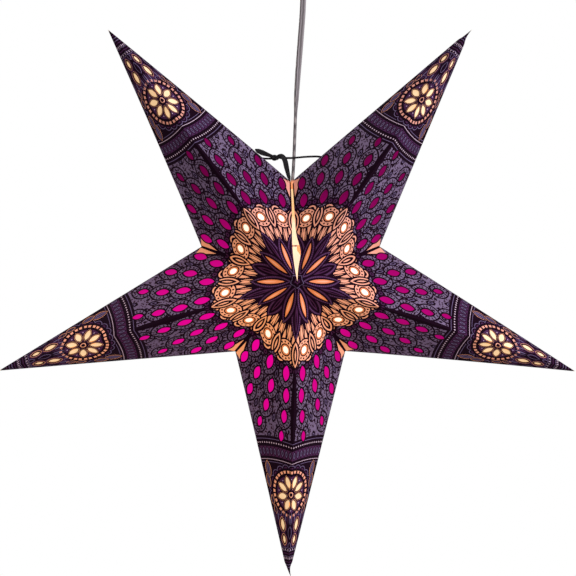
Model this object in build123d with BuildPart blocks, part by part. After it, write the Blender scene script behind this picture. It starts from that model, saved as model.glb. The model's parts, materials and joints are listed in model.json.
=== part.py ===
from build123d import *
import os
from math import acos, atan2, cos, degrees, radians, sin, tan

os.makedirs("parts", exist_ok=True)

# Hanging paper star with a lampholder inside and a ceiling fitting above.
# Millimetres, +Z up, the front faces -Y, the ceiling is the plane z = 0.

# Star, measured to the outside of the card
tip_radius = 315.5
notch_radius = 98.0
half_depth = 95.0
card_thickness = 0.4
tissue_thickness = 0.15
score_gap = 0.06
glue_gap = 0.2
seam_angle = 1.2
star_x = -12.0
star_drop = 370.0
point_angles = {"upper_right": 36, "right": 108, "lower": 180, "left": 252, "upper_left": 324}

# Windows of one facet: a row of pearls, rows of leaves (radius, length, width), a medallion
pearl_row_radius = 80.0
pearl_count = 2
pearl_radius = 4.0
leaf_rows = ((105.0, 18.0, 9.0), (129.0, 17.0, 8.5), (153.0, 15.0, 8.0), (176.0, 12.0, 6.5))
leaf_counts = (3, 4, 3, 2)
medallion_from_tip = 93.5
medallion_petals = 4
petal_radius = 13.5
petal_length = 13.0
petal_width = 6.5
tip_leaves = ((58.0, 13.0, 5.5), (42.0, 9.0, 4.0))
tissue_inset = 3.0
tissue_lap = 3.5

# Tie
tie_hole_radius = 1.3
tie_hole_along = 43.0
tie_hole_inset = 5.0
string_radius = 0.7
ribbon_width = 3.6
ribbon_thickness = 0.8
knot_half_length = 4.2
knot_half_height = 3.0
stopper_radius = 2.2

# Lampholder and lamp
holder_clearance = 0.35
cap_top_radius = 6.0
cap_radius = 15.0
cap_height = 22.0
skirt_radius = 14.2
skirt_height = 36.0
shell_wall = 1.6
insert_radius = 11.6
insert_height = 27.0
shell_inner_radius = 7.15
shell_thickness = 0.4
lamp_cap_radius = 6.9
lamp_cap_height = 22.0
lamp_cap_wall = 0.35
lamp_stand_out = 2.0
globe_radius = 22.5
globe_wall = 0.8
globe_neck_radius = 6.4
globe_length = 55.0

# Flex and ceiling fitting
flex_thickness = 3.0
flex_width = 6.2
flex_clearance = 0.2
rose_radius = 40.0
rose_height = 46.0
rose_wall = 1.8
bracket_width = 16.0
bracket_thickness = 1.6
bracket_ear = 14.0
mount_spacing = 50.0
mount_hole_radius = 2.25
cover_screw_radius = 1.5
block_length = 24.0
block_width = 15.0
block_height = 14.0
grip_radius = 10.0
grip_height = 10.0
stem_radius = 5.0
nut_height = 4.0
bead_radius = 6.8
bead_gap = 0.2
sleeve_length = 21.0
sleeve_top_radius = 4.9
sleeve_tip_radius = 4.1

half_sector = 180 / len(point_angles)
flex_bore = flex_width / 2 + flex_clearance
star_place = Location((star_x, 0, -star_drop))


def keep(name, part):
    """Label a finished piece and write it to its own file."""
    part.label = name
    export_step(part, "parts/" + name + ".step")


# One front facet of a point that points straight up: centre, tip, left notch
front_centre = Vector(0, -half_depth, 0)
tip = Vector(0, 0, tip_radius)
notch = Vector(-notch_radius * sin(radians(half_sector)), 0, notch_radius * cos(radians(half_sector)))
facet_plane = Plane(
    origin=front_centre,
    x_dir=tip - front_centre,
    z_dir=(tip - front_centre).cross(notch - front_centre),
)
flat_tip = facet_plane.to_local_coords(tip)
flat_notch = facet_plane.to_local_coords(notch)
ridge_length = flat_tip.X
facet_angle = degrees(atan2(flat_notch.Y, flat_notch.X))
tip_angle = degrees(atan2(flat_notch.Y, ridge_length - flat_notch.X))
crease_distance = ridge_length * sin(radians(tip_angle))


def open_angle(radius):
    """Angle of the facet that is still open at this radius from the centre."""
    if radius <= crease_distance:
        return facet_angle
    return min(facet_angle, 90 - tip_angle - degrees(acos(crease_distance / radius)))


def leaf(length, width):
    """Pointed leaf: two equal arcs between the ends."""
    with BuildSketch() as shape:
        with BuildLine():
            ThreePointArc((-length / 2, 0), (0, width / 2), (length / 2, 0))
            ThreePointArc((length / 2, 0), (0, -width / 2), (-length / 2, 0))
        make_face()
    return shape.sketch


def flat_place(radius, angle, centre_x=0.0):
    """Place on the facet, turned so that its length runs along the radius."""
    x = centre_x + radius * cos(radians(angle))
    return Location((x, radius * sin(radians(angle)), 0), (0, 0, angle))


with BuildSketch() as pearl:
    Circle(pearl_radius)

windows = []
for index in range(pearl_count):
    windows.append((pearl.sketch, flat_place(pearl_row_radius, facet_angle * (index + 0.5) / pearl_count)))
for (radius, length, width), count in zip(leaf_rows, leaf_counts):
    shape = leaf(length, width)
    for index in range(count):
        windows.append((shape, flat_place(radius, open_angle(radius) * (index + 0.5) / count)))
petal = leaf(petal_length, petal_width)
for index in range(medallion_petals):
    angle = 180 * (index + 0.5) / medallion_petals
    windows.append((petal, flat_place(petal_radius, angle, ridge_length - medallion_from_tip)))
for distance, length, width in tip_leaves:
    windows.append((leaf(length, width), flat_place(-distance, -tip_angle / 2, ridge_length)))

# Hole for the tie, along the crease from the notch and in from it
crease_way = (flat_tip - flat_notch).normalized()
crease_in = Vector(crease_way.Y, -crease_way.X, 0)
flat_hole = flat_notch + crease_way * tie_hole_along + crease_in * tie_hole_inset


def trim_facet(valley_turn):
    """Trim the open block to its own side of the ridge, the crease and the valley."""
    split(bisect_by=Plane(origin=(-score_gap / 2, 0, 0), z_dir=(-1, 0, 0)), keep=Keep.TOP)
    split(bisect_by=Plane(origin=(0, -score_gap / 2, 0), z_dir=(0, -1, 0)), keep=Keep.TOP)
    side = radians(half_sector - valley_turn)
    inward = Vector(cos(side), 0, sin(side))
    split(bisect_by=Plane(origin=inward * (glue_gap / 2), z_dir=inward), keep=Keep.TOP)


def card_facet(valley_turn, with_hole):
    """One flat panel of printed card with its windows cut out."""
    with BuildPart() as panel:
        with BuildSketch(facet_plane):
            with BuildLine():
                Polyline((0, 0), (flat_tip.X, 0), (flat_notch.X, flat_notch.Y), close=True)
            make_face()
            offset(amount=2.0, kind=Kind.INTERSECTION)
            for shape, place in windows:
                with Locations(place):
                    add(shape, mode=Mode.SUBTRACT)
            if with_hole:
                with Locations((flat_hole.X, flat_hole.Y)):
                    Circle(tie_hole_radius, mode=Mode.SUBTRACT)
        extrude(amount=-card_thickness)
        trim_facet(valley_turn)
    return panel.part


def tissue_panel(centre_x, inner_radius, outer_radius, with_hole=False):
    """Tissue glued behind the card between two circles round one end of the ridge."""
    with BuildPart() as panel:
        with BuildSketch(facet_plane.offset(-card_thickness)):
            with BuildLine():
                Polyline((0, 0), (flat_tip.X, 0), (flat_notch.X, flat_notch.Y), close=True)
            make_face()
            offset(amount=-tissue_inset, kind=Kind.INTERSECTION)
            with Locations((centre_x, 0)):
                Circle(outer_radius, mode=Mode.INTERSECT)
                Circle(inner_radius, mode=Mode.SUBTRACT)
            if with_hole:
                with Locations((flat_hole.X, flat_hole.Y)):
                    Circle(tie_hole_radius, mode=Mode.SUBTRACT)
        extrude(amount=-tissue_thickness)
    return panel.part


first_row = leaf_rows[0]
last_row = leaf_rows[-1]
white_start = pearl_row_radius - pearl_radius - tissue_lap
white_end = pearl_row_radius + pearl_radius + tissue_lap
magenta_start = max(white_end + 1.0, first_row[0] - first_row[1] / 2 - tissue_lap)
magenta_end = last_row[0] + last_row[1] / 2 + tissue_lap
cream_start = tip_leaves[-1][0] - tip_leaves[-1][1] / 2 - tissue_lap
cream_end = medallion_from_tip + petal_radius + petal_length / 2 + tissue_lap
tissues = {
    "white_tissue": tissue_panel(0, white_start, white_end),
    "magenta_tissue": tissue_panel(0, magenta_start, magenta_end),
    "cream_tissue": tissue_panel(ridge_length, cream_start, cream_end),
}
tied_tissue = tissue_panel(0, magenta_start, magenta_end, True)
plain_panel = card_facet(0.0, False)
seam_panel = card_facet(seam_angle, False)
tied_panel = card_facet(seam_angle, True)

for name, angle in point_angles.items():
    left_front = seam_panel if name == "upper_right" else plain_panel
    left_back = tied_panel if name == "upper_right" else plain_panel
    right_front = seam_panel if name == "upper_left" else plain_panel
    right_back = tied_panel if name == "upper_left" else plain_panel
    place = star_place * Rot(0, angle, 0)
    with BuildPart() as far_panel:
        mirror(right_back, about=Plane.XZ)
    with BuildPart() as point:
        add(left_front)
        mirror(left_back, about=Plane.XZ)
        mirror(right_front, about=Plane.YZ)
        mirror(far_panel.part, about=Plane.YZ)
    keep(name + "_point", place * point.part)
    for tissue, panel in tissues.items():
        pierced = tissue == "magenta_tissue"
        left_lining = tied_tissue if pierced and name == "upper_right" else panel
        right_lining = tied_tissue if pierced and name == "upper_left" else panel
        with BuildPart() as far_lining:
            mirror(right_lining, about=Plane.XZ)
        with BuildPart() as lining:
            add(panel)
            mirror(left_lining, about=Plane.XZ)
            mirror(panel, about=Plane.YZ)
            mirror(far_lining.part, about=Plane.YZ)
        keep(name + "_" + tissue, place * lining.part)

# Lampholder: its sloping cap lies just under the two seam edges of the card
star_z = -star_drop
notch_z = star_z + notch_radius
seam_slope = notch_radius / half_depth
seam_tilt = atan2(notch_radius, half_depth)
edge_drop = card_thickness * 1.3 + holder_clearance
cap_top_z = notch_z - cap_top_radius * seam_slope - edge_drop / cos(seam_tilt)
cone_drop = (cap_radius - cap_top_radius) * seam_slope
cap_end_z = cap_top_z - cap_height
skirt_end_z = cap_end_z - skirt_height
insert_top_z = cap_end_z + 4.0
lamp_cap_end_z = skirt_end_z - lamp_stand_out
lamp_cap_top_z = lamp_cap_end_z + lamp_cap_height


def turned(points, centre_x=star_x):
    """Body of revolution about a vertical line, from (radius, height) corners."""
    with BuildPart() as body:
        with BuildSketch(Plane(origin=(centre_x, 0, 0), x_dir=(1, 0, 0), z_dir=(0, -1, 0))):
            with BuildLine():
                Polyline(*points, close=True)
            make_face()
        revolve(axis=Axis((centre_x, 0, 0), (0, 0, 1)))
    return body.part


cap_inner = cap_radius - shell_wall
keep(
    "holder_cap",
    turned(
        [
            (flex_bore, cap_top_z),
            (cap_top_radius, cap_top_z),
            (cap_radius, cap_top_z - cone_drop),
            (cap_radius, cap_end_z),
            (cap_inner, cap_end_z),
            (cap_inner, cap_top_z - cone_drop - shell_wall),
            (flex_bore, cap_top_z - cone_drop - shell_wall),
        ]
    ),
)
skirt_inner = skirt_radius - shell_wall
collar_radius = cap_inner - 0.3
keep(
    "holder_skirt",
    turned(
        [
            (skirt_inner, cap_end_z + 3.0),
            (collar_radius, cap_end_z + 3.0),
            (collar_radius, cap_end_z),
            (skirt_radius, cap_end_z),
            (skirt_radius, skirt_end_z),
            (skirt_inner, skirt_end_z),
        ]
    ),
)
shell_outer = shell_inner_radius + shell_thickness
insert_end_z = insert_top_z - insert_height
keep(
    "holder_insert",
    turned(
        [
            (0, insert_top_z),
            (insert_radius, insert_top_z),
            (insert_radius, insert_end_z),
            (shell_outer + 0.1, insert_end_z),
            (shell_outer + 0.1, lamp_cap_top_z + 5.0),
            (0, lamp_cap_top_z + 5.0),
        ]
    ),
)
keep(
    "screw_shell",
    turned(
        [
            (shell_inner_radius, lamp_cap_top_z + 4.0),
            (shell_outer, lamp_cap_top_z + 4.0),
            (shell_outer, skirt_end_z + 2.0),
            (shell_inner_radius, skirt_end_z + 2.0),
        ]
    ),
)
contact_z = lamp_cap_top_z + 3.0
with BuildPart() as centre_contact:
    with BuildSketch(Plane.XY.offset(contact_z + 0.2)):
        with Locations((star_x, 0)):
            Rectangle(11.0, 4.0)
    extrude(amount=0.5)
    with BuildSketch(Plane.XY.offset(contact_z + 0.7)):
        with Locations((star_x, 0)):
            Rectangle(3.0, 3.0)
    extrude(amount=lamp_cap_top_z + 5.0 - contact_z - 0.7)
keep("centre_contact", centre_contact.part)

# Lamp: screw cap, insulator, contact, globe, stem and filaments
with BuildPart() as lamp_cap:
    with BuildSketch(Plane.XY.offset(lamp_cap_end_z)):
        with Locations((star_x, 0)):
            Circle(lamp_cap_radius)
    extrude(amount=lamp_cap_height)
    with BuildSketch(Plane.XY.offset(lamp_cap_end_z)):
        with Locations((star_x, 0)):
            Circle(lamp_cap_radius - lamp_cap_wall)
    extrude(amount=lamp_cap_height - lamp_cap_wall, mode=Mode.SUBTRACT)
keep("lamp_cap", lamp_cap.part)
keep(
    "lamp_insulator",
    turned(
        [
            (0, lamp_cap_top_z),
            (lamp_cap_radius - 0.6, lamp_cap_top_z),
            (3.2, lamp_cap_top_z + 2.0),
            (0, lamp_cap_top_z + 2.0),
        ]
    ),
)
keep(
    "lamp_contact",
    turned([(0, contact_z - 1.0), (2.6, contact_z - 1.0), (2.6, contact_z - 0.4), (2.0, contact_z), (0, contact_z)]),
)
globe_bottom_z = lamp_cap_end_z - globe_length
globe_z = globe_bottom_z + globe_radius
throat_z = lamp_cap_end_z - 4.0


def globe_profile(shrink):
    """Half outline of the globe: neck, flare and ball."""
    ball = globe_radius - shrink
    neck = globe_neck_radius - shrink
    lift = radians(52)
    join = (ball * cos(lift), globe_z + ball * sin(lift))
    with BuildSketch(Plane(origin=(star_x, 0, 0), x_dir=(1, 0, 0), z_dir=(0, -1, 0))) as outline:
        with BuildLine():
            Line((0, globe_z - ball), (0, lamp_cap_end_z + 6.0))
            Line((0, lamp_cap_end_z + 6.0), (neck, lamp_cap_end_z + 6.0))
            Line((neck, lamp_cap_end_z + 6.0), (neck, throat_z))
            Line((neck, throat_z), join)
            ThreePointArc(join, (ball, globe_z), (0, globe_z - ball))
        make_face()
    return outline.sketch


outer_profile = globe_profile(0.0)
inner_profile = globe_profile(globe_wall)
with BuildPart() as lamp_globe:
    add(outer_profile)
    revolve(axis=Axis((star_x, 0, 0), (0, 0, 1)))
    add(inner_profile)
    revolve(axis=Axis((star_x, 0, 0), (0, 0, 1)), mode=Mode.SUBTRACT)
keep("lamp_globe", lamp_globe.part)
stem_radius_lamp = 3.0
stem_end_z = globe_z + 6.0
keep(
    "lamp_stem",
    turned(
        [
            (0, lamp_cap_end_z + 6.0),
            (globe_neck_radius - globe_wall - 0.2, lamp_cap_end_z + 6.0),
            (stem_radius_lamp, lamp_cap_end_z - 2.0),
            (stem_radius_lamp, stem_end_z),
            (0, stem_end_z),
        ]
    ),
)
with BuildPart() as lamp_filaments:
    with BuildSketch(Plane.XY.offset(globe_z - 13.0)):
        with Locations((star_x, 0)):
            with PolarLocations(stem_radius_lamp + 3.0, 4):
                Circle(0.9)
    extrude(amount=26.0)
    with BuildSketch(Plane.XY.offset(globe_z + 7.0)):
        with Locations((star_x, 0)):
            Circle(stem_radius_lamp + 3.4)
            Circle(stem_radius_lamp, mode=Mode.SUBTRACT)
    extrude(amount=1.2)
keep("lamp_filaments", lamp_filaments.part)

# Ceiling fitting
inner_radius = rose_radius - rose_wall
ear_x = inner_radius - 0.6
with BuildPart() as ceiling_bracket:
    with BuildSketch(Plane.XY):
        Rectangle(2 * ear_x, bracket_width)
        with Locations((-mount_spacing / 2, 0), (mount_spacing / 2, 0)):
            Circle(mount_hole_radius, mode=Mode.SUBTRACT)
    extrude(amount=-bracket_thickness)
    with BuildSketch(Plane.XY.offset(-bracket_thickness)):
        with Locations((ear_x - bracket_thickness / 2, 0), (bracket_thickness / 2 - ear_x, 0)):
            Rectangle(bracket_thickness, bracket_width)
    extrude(amount=-bracket_ear)
    with BuildSketch(Plane.YZ.offset(-rose_radius)):
        with Locations((0, -bracket_thickness - bracket_ear / 2)):
            Circle(cover_screw_radius + 0.05)
    extrude(amount=2 * rose_radius, mode=Mode.SUBTRACT)
    with BuildSketch(Plane.XY):
        Circle(rose_radius)
    extrude(amount=-rose_height, mode=Mode.INTERSECT)
    with BuildSketch(Plane.XY):
        Circle(inner_radius - 0.3)
    extrude(amount=-rose_height, mode=Mode.INTERSECT)
keep("ceiling_bracket", ceiling_bracket.part)

screw_z = -bracket_thickness - bracket_ear / 2
with BuildPart() as rose_cover:
    with BuildSketch(Plane.XY):
        Circle(rose_radius)
    extrude(amount=-rose_height)
    fillet(rose_cover.faces().sort_by(Axis.Z)[0].edges(), radius=12.0)
    offset(amount=-rose_wall, openings=rose_cover.faces().sort_by(Axis.Z)[-1])
    with BuildSketch(Plane.XY.offset(-rose_height)):
        Circle(stem_radius + 0.2)
    extrude(amount=2 * rose_wall, mode=Mode.SUBTRACT)
    with BuildSketch(Plane.YZ.offset(-rose_radius - 1)):
        with Locations((0, screw_z)):
            Circle(cover_screw_radius + 0.15)
    extrude(amount=2 * rose_radius + 2, mode=Mode.SUBTRACT)
keep("rose_cover", rose_cover.part)

with BuildPart() as one_screw:
    with BuildSketch(Plane.YZ.offset(rose_radius + 0.1)):
        with Locations((0, screw_z)):
            Circle(2 * cover_screw_radius)
            Rectangle(0.7, 5 * cover_screw_radius, mode=Mode.SUBTRACT)
    extrude(amount=1.6)
    with BuildSketch(Plane.YZ.offset(rose_radius + 0.1)):
        with Locations((0, screw_z)):
            Circle(2 * cover_screw_radius)
    extrude(amount=0.6)
    with BuildSketch(Plane.YZ.offset(rose_radius + 0.1)):
        with Locations((0, screw_z)):
            Circle(cover_screw_radius)
    extrude(amount=-7.0)
with BuildPart() as cover_screws:
    add(one_screw.part)
    mirror(one_screw.part, about=Plane.YZ)
keep("cover_screws", cover_screws.part)

block_top_z = -bracket_thickness
block_end_z = block_top_z - block_height
with BuildPart() as terminal_block:
    with BuildSketch(Plane.XY.offset(block_end_z)):
        Rectangle(block_length, block_width)
    extrude(amount=block_height)
    fillet(terminal_block.edges().filter_by(Axis.Z), radius=2.0)
    with BuildSketch(Plane.XZ.offset(block_width / 2)):
        with Locations((-block_length / 4, block_end_z + 5.0), (block_length / 4, block_end_z + 5.0)):
            Circle(2.0)
    extrude(amount=-block_width, mode=Mode.SUBTRACT)
    with BuildSketch(Plane.XY.offset(block_end_z)):
        with Locations((-block_length / 4, block_width / 4), (block_length / 4, block_width / 4)):
            Circle(1.7)
    extrude(amount=4.0, mode=Mode.SUBTRACT)
keep("terminal_block", terminal_block.part)
with BuildPart() as terminal_screws:
    with BuildSketch(Plane.XY.offset(block_end_z - 1.0)):
        with Locations((-block_length / 4, block_width / 4), (block_length / 4, block_width / 4)):
            Circle(1.5)
            Rectangle(0.6, 4.0, mode=Mode.SUBTRACT)
    extrude(amount=1.0)
    with BuildSketch(Plane.XY.offset(block_end_z)):
        with Locations((-block_length / 4, block_width / 4), (block_length / 4, block_width / 4)):
            Circle(1.5)
    extrude(amount=4.0)
keep("terminal_screws", terminal_screws.part)

pivot_z = -rose_height - grip_height + 2.0
cavity_radius = bead_radius + bead_gap
floor_z = -rose_height + rose_wall
with BuildPart() as cord_grip:
    with BuildSketch(Plane.XY.offset(-rose_height)):
        Circle(grip_radius)
    extrude(amount=-grip_height)
    fillet(cord_grip.faces().sort_by(Axis.Z)[0].edges(), radius=1.5)
    with BuildSketch(Plane.XY.offset(-rose_height)):
        Circle(stem_radius)
    extrude(amount=rose_wall + nut_height + 1.0)
    with Locations((0, 0, pivot_z)):
        Sphere(cavity_radius, mode=Mode.SUBTRACT)
    with BuildSketch(Plane.XY.offset(-rose_height - grip_height)):
        Circle(flex_bore)
    extrude(amount=grip_height + rose_wall + nut_height + 1.0, mode=Mode.SUBTRACT)
keep("cord_grip", cord_grip.part)
with BuildPart() as grip_nut:
    with BuildSketch(Plane.XY.offset(floor_z)):
        RegularPolygon(radius=stem_radius + 4.0, side_count=6)
        Circle(stem_radius + 0.05, mode=Mode.SUBTRACT)
    extrude(amount=nut_height)
keep("grip_nut", grip_nut.part)
with BuildPart() as swivel_bead:
    with Locations((0, 0, pivot_z)):
        Sphere(bead_radius)
    with BuildSketch(Plane.XY.offset(pivot_z - bead_radius)):
        Circle(flex_bore)
    extrude(amount=2 * bead_radius, mode=Mode.SUBTRACT)
keep("swivel_bead", swivel_bead.part)
sleeve_end_z = pivot_z - bead_radius - sleeve_length
with BuildPart() as cord_sleeve:
    with BuildSketch(Plane.XZ):
        with BuildLine():
            Polyline(
                (flex_bore, pivot_z - 4.0),
                (sleeve_top_radius, pivot_z - 4.0),
                (sleeve_top_radius, pivot_z - bead_radius - 4.0),
                (sleeve_tip_radius, sleeve_end_z),
                (flex_bore, sleeve_end_z),
                close=True,
            )
        make_face()
    revolve(axis=Axis.Z)
    with Locations((0, 0, pivot_z)):
        Sphere(cavity_radius, mode=Mode.SUBTRACT)
keep("cord_sleeve", cord_sleeve.part)


def route_radii(points):
    """Arc radius at each corner: 0.45 of the shorter run over the tangent of half the turn."""
    radii = []
    for before, here, after in zip(points, points[1:], points[2:]):
        one = Vector(here) - Vector(before)
        two = Vector(after) - Vector(here)
        turn = radians(one.get_angle(two))
        radii.append(0.45 * min(one.length, two.length) / tan(turn / 2))
    return radii


def tube(name, points, width, thickness, wide_way):
    """Flat or round cord swept along straight runs and tangent arcs."""
    radii = route_radii(points)
    with BuildLine() as path:
        if len(points) > 2:
            FilletPolyline(*points, radius=radii)
        else:
            Line(*points)
    route = path.wires()[0]
    start = route @ 0
    way = route % 0
    with BuildPart() as cord:
        with BuildSketch(Plane(origin=start, x_dir=wide_way, z_dir=way)) as section:
            if width > thickness:
                SlotCenterToCenter(width - thickness, thickness)
            else:
                Circle(width / 2)
        sweep(path=route)
    expected = section.sketch.area * route.length
    print(name, "length", round(route.length, 1), "radii", [round(r, 1) for r in radii])
    print(name, "volume", round(cord.part.volume, 1), "section times length", round(expected, 1))
    return cord.part


# Flex: its end inside the fitting, then the free stretch down to the lampholder
flex_start_z = pivot_z + bead_radius
keep(
    "flex_end",
    tube("flex_end", [(0, 0, block_end_z), (0, 0, flex_start_z + 0.02)], flex_width, flex_thickness, (0, 1, 0)),
)
flex_route = [
    (0.0, 0.0, flex_start_z),
    (-0.2, 0.0, -82.0),
    (-2.6, 0.0, -124.0),
    (-6.0, 0.0, -168.0),
    (-9.0, 0.0, -214.0),
    (-11.3, 0.0, -252.0),
    (star_x, 0.0, cap_top_z - 6.0),
]
keep("lamp_flex", tube("lamp_flex", flex_route, flex_width, flex_thickness, (0, 1, 0)))

# Tie: hole positions on the two back facets beside the seam
front_hole = facet_plane.from_local_coords(flat_hole)
front_normal = facet_plane.z_dir
turn_right = Rot(0, point_angles["upper_right"], 0)


def to_star(vector):
    """Turn a vector of the upright point to the upper right point, on its back side."""
    moved = turn_right * Location((vector.X, -vector.Y, vector.Z))
    return Vector(*moved.position)


hole = to_star(front_hole)
outward = to_star(front_normal)


def tie_point(vector, side=1):
    """Point of the tie in the shared frame, mirrored for the left side."""
    return (star_x + side * vector.X, vector.Y, star_z + vector.Z)


hole_in = hole - outward * (card_thickness + 2.6)
hole_out = hole + outward * 3.2
front_of_flex = Vector(1.2, -(flex_width / 2 + string_radius + 0.45), notch_radius + 24.4)
knot_at = Vector(-16.6, 0.9, notch_radius + 24.9)
knot_centre = tie_point(knot_at)
right_end = knot_at + Vector(knot_half_length + 0.5, -1.2, -0.1)
keep(
    "tie_right",
    tube(
        "tie_right",
        [tie_point(hole_in), tie_point(hole_out), tie_point(front_of_flex), tie_point(right_end)],
        2 * string_radius,
        2 * string_radius,
        (1, 0, 0),
    ),
)
left_start = knot_at + Vector(-knot_half_length + 1.2, 0.3, 0)
left_in = tie_point(hole_in, -1)
left_out = tie_point(hole_out, -1)
keep(
    "tie_left",
    tube("tie_left", [left_in, left_out, tie_point(left_start)], 2 * string_radius, 2 * string_radius, (1, 0, 0)),
)
with BuildPart() as tie_knot:
    with BuildSketch(Plane(origin=knot_centre, x_dir=(1, 0, 0), z_dir=(0, -1, 0))):
        Ellipse(knot_half_length, knot_half_height)
        with Locations((0, -knot_half_height)):
            Rectangle(4 * knot_half_length, 2 * knot_half_height, mode=Mode.SUBTRACT)
    revolve(axis=Axis(knot_centre, (1, 0, 0)))
keep("tie_knot", tie_knot.part)


def tail(name, offsets):
    """Flat ribbon tail of the tie, from inside the knot to its cut end."""
    points = [tie_point(knot_at + Vector(*offset)) for offset in offsets]
    return tube(name, points, ribbon_width, ribbon_thickness, (0, 0, 1))


upper_tail = tail("upper_tail", [(-2.6, -0.8, 0.6), (-8.0, -2.8, 2.6), (-14.5, -4.6, 4.6), (-21.5, -5.2, 7.6)])
lower_tail = tail("lower_tail", [(2.4, -1.2, -0.4), (7.0, -4.6, -2.0), (12.0, -6.0, -9.0), (15.4, -5.2, -25.0)])
with BuildPart() as tie_tails:
    add(upper_tail)
    add(lower_tail)
keep("tie_tails", tie_tails.part)
for name, side in (("right_stopper", 1), ("left_stopper", -1)):
    with BuildPart() as stopper:
        with Locations(tie_point(hole - outward * (card_thickness + 0.4 + stopper_radius), side)):
            Sphere(stopper_radius)
    keep(name, stopper.part)
print("cap top", round(cap_top_z, 2), "lamp cap", round(lamp_cap_end_z, 2), round(lamp_cap_top_z, 2))
print("globe", round(globe_bottom_z, 2), "pivot", pivot_z, "hole", hole, "facet", ridge_length, flat_notch)
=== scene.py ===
# %% [markdown]
# # A hanging paper star lantern
# The lantern is a folded paper star that hangs from a ceiling fitting, with a lamp inside it.
# It could be modelled by hand in edit mode, but then nothing would tell how it was made.
# So what is thin, soft or printed is worked out here by formula: card, tissue, flex and ribbon.
# The CAD frame holds the hard pieces and their joints, and this lesson never moves or resizes them.
# Distances on the paper are in millimetres until a piece is made, when they become metres.

import json

import bpy
import numpy as np
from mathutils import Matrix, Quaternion, Vector
from mathutils.geometry import delaunay_2d_cdt


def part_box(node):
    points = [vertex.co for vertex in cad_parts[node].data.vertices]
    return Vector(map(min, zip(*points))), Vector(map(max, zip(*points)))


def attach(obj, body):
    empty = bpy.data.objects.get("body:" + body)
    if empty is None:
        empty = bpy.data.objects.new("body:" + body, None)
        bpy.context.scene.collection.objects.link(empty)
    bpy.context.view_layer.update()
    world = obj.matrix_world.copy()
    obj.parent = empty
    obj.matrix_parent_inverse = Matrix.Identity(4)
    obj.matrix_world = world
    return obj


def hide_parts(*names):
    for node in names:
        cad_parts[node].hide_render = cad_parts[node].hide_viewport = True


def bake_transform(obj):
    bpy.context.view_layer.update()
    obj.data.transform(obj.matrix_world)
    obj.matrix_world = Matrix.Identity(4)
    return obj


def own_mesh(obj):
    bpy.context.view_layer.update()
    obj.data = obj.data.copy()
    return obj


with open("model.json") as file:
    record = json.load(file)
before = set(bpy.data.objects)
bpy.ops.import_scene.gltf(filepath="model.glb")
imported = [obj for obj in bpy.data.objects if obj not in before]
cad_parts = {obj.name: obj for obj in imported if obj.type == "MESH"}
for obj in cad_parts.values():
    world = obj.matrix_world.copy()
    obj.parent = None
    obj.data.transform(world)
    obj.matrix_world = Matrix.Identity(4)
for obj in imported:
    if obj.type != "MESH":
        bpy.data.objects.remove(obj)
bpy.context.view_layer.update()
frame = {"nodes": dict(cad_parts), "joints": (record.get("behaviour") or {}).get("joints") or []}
scene = bpy.context.scene
MILLIMETRE = 0.001
fold_joint = next(joint for joint in frame["joints"] if joint["name"] == "star_fold")
STAR = np.array(fold_joint["pos_m"], float)
print("frame loaded with", len(frame["nodes"]), "nodes, the star's middle is at", STAR)

# %% [markdown]
# ## Camera
# The star is seen almost straight on, a little from the left and from above.
# A camera can be aimed by hand or by a Track To constraint.
# Here its place is worked out from three angles, which are easy to read, change and try again.
# The lens is long and the camera far away, so that near and far points keep almost the same scale.

# %% Camera
AZIMUTH, ELEVATION, ROLL = np.radians([-4.1, 3.9, 0.2])
DISTANCE, VIEW_WIDTH, SENSOR_WIDTH = 3.2, 0.6016, 36.0
AIM_OFFSET = Vector((-0.0027, 0.0, -0.0130))
back = Vector(
    (
        np.sin(AZIMUTH) * np.cos(ELEVATION),
        -np.cos(AZIMUTH) * np.cos(ELEVATION),
        np.sin(ELEVATION),
    )
)
camera_data = bpy.data.cameras.new("camera")
camera_data.lens = SENSOR_WIDTH * DISTANCE / VIEW_WIDTH
camera = bpy.data.objects.new("camera", camera_data)
scene.collection.objects.link(camera)
camera.rotation_mode = "QUATERNION"
camera.location = Vector(STAR) + AIM_OFFSET + back * DISTANCE
camera.rotation_quaternion = Quaternion(back, ROLL) @ (-back).to_track_quat("-Z", "Y")
scene.camera = camera
print("camera lens", round(camera_data.lens, 1), "mm, seen from", DISTANCE, "m")

# %% [markdown]
# ## The line of the flex
# The real flex leaves the ceiling fitting, bends a little and drops into the star.
# A Bezier curve needs handles at each point, and straight runs with round corners look like bent wire.
# So a few listed points steer a NURBS spline of order 3, which is smooth all the way.
# Blender turns that spline into points, and all that belongs to the flex follows them.


# %% The line of the flex
def spline_line(name, route):
    """Points along a NURBS spline of order 3: each stretch is a parabola steered by three route points."""
    curve = bpy.data.curves.new(name, "CURVE")
    curve.dimensions = "3D"
    curve.resolution_u = 20
    spline = curve.splines.new("NURBS")
    spline.points.add(len(route) - 1)
    spline.points.foreach_set("co", np.column_stack([route, np.ones(len(route))]).ravel())
    spline.order_u = 3
    spline.use_endpoint_u = True
    holder = bpy.data.objects.new(name, curve)
    mesh = bpy.data.meshes.new_from_object(holder)
    line = np.zeros(len(mesh.vertices) * 3, np.float32)
    mesh.vertices.foreach_get("co", line)
    bpy.data.meshes.remove(mesh)
    bpy.data.objects.remove(holder)
    bpy.data.curves.remove(curve)
    return line.reshape(-1, 3).astype(float)


def shares_along(line):
    """Length of a line, and for each of its points the share of that length before it."""
    step = np.linalg.norm(np.diff(line, axis=0), axis=1)
    return step.sum(), np.concatenate([[0], np.cumsum(step)]) / step.sum()


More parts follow.
